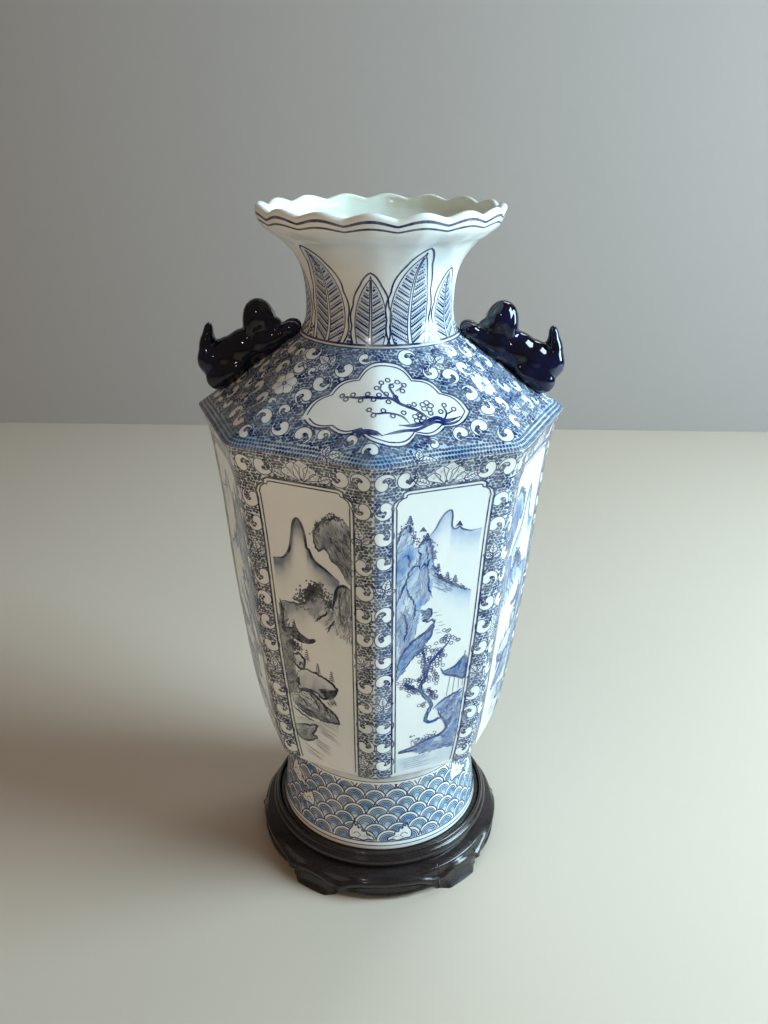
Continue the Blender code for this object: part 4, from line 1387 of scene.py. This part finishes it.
def lion_piece(name, side, cad):
    bm = bmesh.new()
    for r, z, y, a, b, c, tilt in lion_lumps():
        m = (Matrix.Translation(Vector((side * r, y, FOOT_Z + z)) * MM)
             @ Matrix.Rotation(math.radians(side * tilt), 4, "Y")
             @ Matrix.Diagonal((a * MM, c * MM, b * MM, 1)))
        bmesh.ops.create_icosphere(bm, subdivisions=4, radius=1.0, matrix=m)
    me = bpy.data.meshes.new(name)
    bm.to_mesh(me)
    bm.free()
    ob = bpy.data.objects.new(name, me)
    bpy.context.scene.collection.objects.link(ob)
    mod = ob.modifiers.new("clay", "REMESH")
    mod.mode = "VOXEL"
    mod.voxel_size = 0.75 * MM
    mod = ob.modifiers.new("smooth", "SMOOTH")
    mod.factor = 0.5
    mod.iterations = 26
    bpy.context.view_layer.update()
    dg = bpy.context.evaluated_depsgraph_get()
    done = bpy.data.meshes.new_from_object(ob.evaluated_get(dg))
    bpy.data.objects.remove(ob)
    n = len(done.vertices)
    co = np.empty(n * 3, np.float32)
    no = np.empty(n * 3, np.float32)
    done.vertices.foreach_get("co", co)
    done.vertices.foreach_get("normal", no)
    co, no = co.reshape(-1, 3), no.reshape(-1, 3)
    r, y, z = side * co[:, 0] / MM, co[:, 1] / MM, co[:, 2] / MM - FOOT_Z
    # the parting between mane and face, and the mouth, both softened by thick glaze
    part = np.exp(-((r - 78.6 - 0.10 * (z - 350)) / 0.9) ** 2) * ramp(z, 338, 344) * ramp(np.abs(y), 1.5, 5.0)
    mouth = np.exp(-((z - 346.9 - 0.35 * (r - 64)) / 0.5) ** 2) * ramp(-r, -68.5, -66.0)
    depth = -0.35 * part - 0.35 * mouth
    co += no * (depth * MM)[:, None]
    done.vertices.foreach_set("co", co.ravel())
    done.update()
    done.name = name
    done.materials.clear()
    done.shade_smooth()
    return piece(name, done, COBALT_GLAZE, "vase", [cad])


lion_piece("lion_handle_left", -1.0, "handle_left")
lion_piece("lion_handle_right", 1.0, "handle_right")


# --- stand -----------------------------------------------------------------------------------------
RIM_OUT, APRON_IN, LEDGE_R = 80.4, 78.0, 60.0
FEET, FOOT_AZ, FOOT_HALF, FOOT_TOP = 5, -30.0, 11.5, 12.0


def foot_offset(az):
    """Degrees from the middle of the nearest stand foot, with its sign."""
    step = 360 / FEET
    return (np.asarray(az, float) - FOOT_AZ + step / 2) % step - step / 2


def contour(az):
    """Height of the carved lower edge: feet on the floor, a small nick, then a long hanging lobe."""
    d = np.abs(foot_offset(az))
    u = np.clip((d - FOOT_HALF) / (180 / FEET - FOOT_HALF), 0, 1)
    low = 3.4 - 1.2 * u ** 2 + 2.6 * np.exp(-((d - FOOT_HALF - 0.9) / 1.3) ** 2)
    return np.where(d <= FOOT_HALF, 0.0, low)


def carved(az, z, low):
    """Radius of the apron's carved face at a height; low is the lower edge there."""
    off = foot_offset(az)
    d = np.abs(off)
    foot = 1 - ramp(d, FOOT_HALF - 5.0, FOOT_HALF + 0.5)
    r = np.interp(z, [0, 4, 9, 13, 15.8, 17.6, 18.8, 20.0, 20.8],
                  [87.0, 86.6, 86.4, 86.4, 86.2, 85.4, 83.0, 80.0, 78.2])
    # toes sweep out to the floor
    r = r + foot * 4.6 * (1 - np.clip(z / 12.5, 0, 1)) ** 1.6
    crest = 14.6 - 5.4 * np.exp(-((d - FOOT_HALF - 1.0) / 7.5) ** 2) - 1.2 * np.exp(-(d / 7.0) ** 2)
    ridge = np.exp(-np.where(z > crest, (z - crest) / 2.4, (z - crest) / 4.4) ** 2)
    # the flowing cloud ridge
    r = r + 2.2 * ridge
    r = r - 0.7 * np.exp(-((z - crest + 5.6) / 2.4) ** 2) * ramp(d, FOOT_HALF, FOOT_HALF + 5)
    boss = np.exp(-((d - 26.5) / 6.0) ** 2) * np.exp(-((z - 7.0) / 4.0) ** 2)
    r = r + 0.8 * boss
    bead = np.clip(1 - ((z - low - 1.4) / 1.5) ** 2, 0, 1)
    # rolled lower edge
    r = r + 1.0 * np.sqrt(bead) * (z < low + 3.2) * ramp(d, FOOT_HALF - 1, FOOT_HALF + 1.5)
    ang = np.radians(off) * 88.0
    # scroll eye at each side of a foot
    for cx in (-1, 1):
        dx, dz = ang - cx * (FOOT_HALF + 2.2) * 1.54, z - 6.2
        rad = np.hypot(dx, dz)
        r = r + 1.3 * np.exp(-(rad / 4.0) ** 2)
    return r


def apron_piece():
    az = np.arange(1080) / 3.0 + FOOT_AZ
    d = np.abs(foot_offset(az))
    low = np.where(d <= FOOT_HALF, FOOT_TOP, contour(az))
    top = 20.8
    v = np.concatenate([np.linspace(0, 0.35, 16)[:-1], np.linspace(0.35, 1, 26)])
    z = low[:, None] + (top - low[:, None]) * v[None]
    r = carved(az[:, None] + 0 * z, z, np.where(d <= FOOT_HALF, 0.0, low)[:, None])
    outer = np.stack([r, z], -1)
    n = len(az)
    inner = [(RIM_OUT - 4.2, 20.7 + 0 * low), (75.3, 19.6 + 0 * low), (LEDGE_R, 19.6 + 0 * low),
             (LEDGE_R, 13.2 + 0 * low), (APRON_IN - 3, 13.0 + 0 * low), (APRON_IN, 12.4 + 0 * low)]
    ring_in = np.stack([np.stack([np.full(n, a), b], -1) for a, b in inner], 1)
    edge = np.stack([np.stack([np.full(n, 82.0), low + 0.15], -1), np.stack([r[:, 0] - 1.2, low], -1)], 1)
    loop = np.concatenate([outer, ring_in, edge], 1)
    a = np.radians(az)[:, None]
    co = np.stack([loop[..., 0] * np.sin(a), -loop[..., 0] * np.cos(a), loop[..., 1]], -1) * MM
    me = sheet_mesh("carved_apron", co)
    me.set_sharp_from_angle(angle=math.radians(50))
    piece("carved_apron", me, WOOD, "stand", ["stand_apron"])


def foot_pieces():
    for k in range(FEET):
        az = FOOT_AZ + 360 / FEET * k + np.linspace(-FOOT_HALF, FOOT_HALF, 61)
        z = np.concatenate([np.linspace(0, 3.5, 14)[:-1], np.linspace(3.5, FOOT_TOP, 18)])
        zz = np.broadcast_to(z, (len(az), len(z)))
        r = carved(az[:, None] + 0 * zz, zz, 0.0)
        side = np.abs(np.linspace(-1, 1, 61))
        r = r + (0.5 * ramp(side, 0.66, 1.0)[:, None]) * (1 - ramp(zz, 2.0, 6.5))       # flicked toes
        outer = np.stack([r, zz], -1)
        inner = np.stack([np.stack([np.full(61, q), np.full(61, h)], -1)
                          for q, h in ((APRON_IN + 2, FOOT_TOP), (APRON_IN + 2.4, 6.0),
                                       (APRON_IN + 3.5, 0.0))], 1)
        loop = np.concatenate([outer, inner], 1)
        a = np.radians(az)[:, None]
        co = np.stack([loop[..., 0] * np.sin(a), -loop[..., 0] * np.cos(a), loop[..., 1]], -1) * MM
        n, m = co.shape[:2]
        idx = np.arange(n * m).reshape(n, m)
        j = np.roll(idx, -1, axis=1)
        faces = np.stack([idx[:-1], j[:-1], j[1:], idx[1:]], -1).reshape(-1, 4).tolist()
        faces += [idx[0].tolist(), idx[-1][::-1].tolist()]
        name = f"scroll_foot_{k + 1}"
        me = bpy.data.meshes.new(name)
        me.from_pydata(co.reshape(-1, 3).tolist(), [], faces)
        me.update()
        bm = bmesh.new()
        bm.from_mesh(me)
        bmesh.ops.recalc_face_normals(bm, faces=bm.faces)
        bm.to_mesh(me)
        bm.free()
        me.shade_smooth()
        me.set_sharp_from_angle(angle=math.radians(45))
        piece(name, me, WOOD, "stand", [f"stand_foot_{k + 1}"])


def rim_piece():
    prof = catmull([(75.6, 21.2), (75.6, 26.0), (75.7, 30.0), (76.3, 31.3), (77.3, 31.4), (78.0, 30.2),
                    (78.5, 29.1), (79.4, 28.5), (80.3, 27.0), (80.5, 25.2), (79.9, 23.4), (78.6, 22.0),
                    (76.8, 21.0)], 0.35,
                   closed=True)[:-1]
    az = np.arange(288) * 1.25
    a = np.radians(az)[:, None]
    r, z = prof[:, 0][None], prof[:, 1][None]
    co = np.stack([r * np.sin(a), -r * np.cos(a), z + 0 * a], -1) * MM
    piece("turned_bead_rim", sheet_mesh("turned_bead_rim", co), WOOD, "stand", ["stand_rim"])


apron_piece()
foot_pieces()
rim_piece()


# --- floor, light, camera --------------------------------------------------------------------------
def floor():
    me = bpy.data.meshes.new("floor")
    s = 60.0
    me.from_pydata([(-s, -s, 0), (s, -s, 0), (s, s, 0), (-s, s, 0)], [], [(0, 1, 2, 3)])
    mat, _, bsdf = new_material("pale_floor")
    bsdf.inputs["Base Color"].default_value = (0.63, 0.56, 0.48, 1)
    bsdf.inputs["Roughness"].default_value = 0.6
    me.materials.append(mat)
    ob = bpy.data.objects.new("floor", me)
    bpy.context.scene.collection.objects.link(ob)


def area(name, place_, target, size, power, colour, mirrored=True):
    light = bpy.data.lights.new(name, "AREA")
    light.shape = "RECTANGLE"
    light.size, light.size_y = size
    light.energy = power
    light.color = colour
    ob = bpy.data.objects.new(name, light)
    bpy.context.scene.collection.objects.link(ob)
    ob.visible_glossy = mirrored          # False keeps the light out of the glaze's reflections
    ob.location = place_
    ob.rotation_euler = (Vector(target) - Vector(place_)).to_track_quat("-Z", "Y").to_euler()


def backdrop():
    me = bpy.data.meshes.new("backdrop")
    y, w, h = 0.95, 6.0, 4.0
    me.from_pydata([(-w, y, 0), (w, y, 0), (w, y, h), (-w, y, h)], [], [(0, 1, 2, 3)])
    mat, _, bsdf = new_material("pale_wall")
    bsdf.inputs["Base Color"].default_value = (0.40, 0.37, 0.355, 1)
    bsdf.inputs["Roughness"].default_value = 0.8
    me.materials.append(mat)
    ob = bpy.data.objects.new("backdrop", me)
    bpy.context.scene.collection.objects.link(ob)


CAMERA_AZ = 2.0         # degrees round the vase from its front corner
CAMERA_PITCH, CAMERA_YAW, CAMERA_ROLL = 23.744, 0.285, 0.181     # degrees
CAMERA_AWAY, CAMERA_UP = 0.539, 0.4615     # metres from the axis and above the porcelain's underside
CAMERA_LENS = 31.09     # mm, on a sensor 36 mm wide


def camera():
    """The lens a little above the rim, looking down at the front corner."""
    pitch, yaw, roll = (math.radians(v) for v in (CAMERA_PITCH, CAMERA_YAW - CAMERA_AZ, CAMERA_ROLL))
    forward = Vector((math.sin(yaw) * math.cos(pitch), math.cos(yaw) * math.cos(pitch), -math.sin(pitch)))
    right = Vector((math.cos(yaw), -math.sin(yaw), 0.0))
    up = right.cross(forward)
    right, up = right * math.cos(roll) + up * math.sin(roll), up * math.cos(roll) - right * math.sin(roll)
    cam = bpy.data.cameras.new("camera")
    cam.lens = CAMERA_LENS
    cam.sensor_width = 36.0
    cam.clip_start = 0.02
    ob = bpy.data.objects.new("camera", cam)
    bpy.context.scene.collection.objects.link(ob)
    m = Matrix((right, up, -forward)).transposed().to_4x4()
    turn = math.radians(CAMERA_AZ)
    m.translation = Vector((CAMERA_AWAY * math.sin(turn), -CAMERA_AWAY * math.cos(turn),
                            CAMERA_UP + FOOT_Z * MM))
    ob.matrix_world = m
    bpy.context.scene.camera = ob


def studio():
    world = bpy.data.worlds.new("studio")
    bpy.context.scene.world = world
    world.use_nodes = True
    bg = world.node_tree.nodes["Background"]
    bg.inputs[0].default_value = (0.95, 0.82, 0.69, 1)
    bg.inputs[1].default_value = 0.15
    area("window", (1.32, -0.20, 0.86), (0, 0, 0.22), (0.8, 1.2), 42.0, (0.68, 0.90, 1.0))
    area("fill", (-1.35, -1.35, 0.55), (0, 0, 0.20), (1.6, 1.5), 8.4, (1.0, 0.62, 0.35), False)
    area("lamp", (-0.45, -1.5, 1.35), (0, 0, 0.3), (0.16, 0.10), 1.3, (1.0, 0.95, 0.88))
    area("overhead", (0.5, 1.0, 1.5), (0, 0, 0.3), (0.9, 0.7), 12.0, (0.92, 0.97, 1.0))
    view = bpy.context.scene.view_settings
    view.view_transform = "Standard"
    view.exposure, view.gamma = 0.12, 0.86


floor()
backdrop()
studio()
camera()
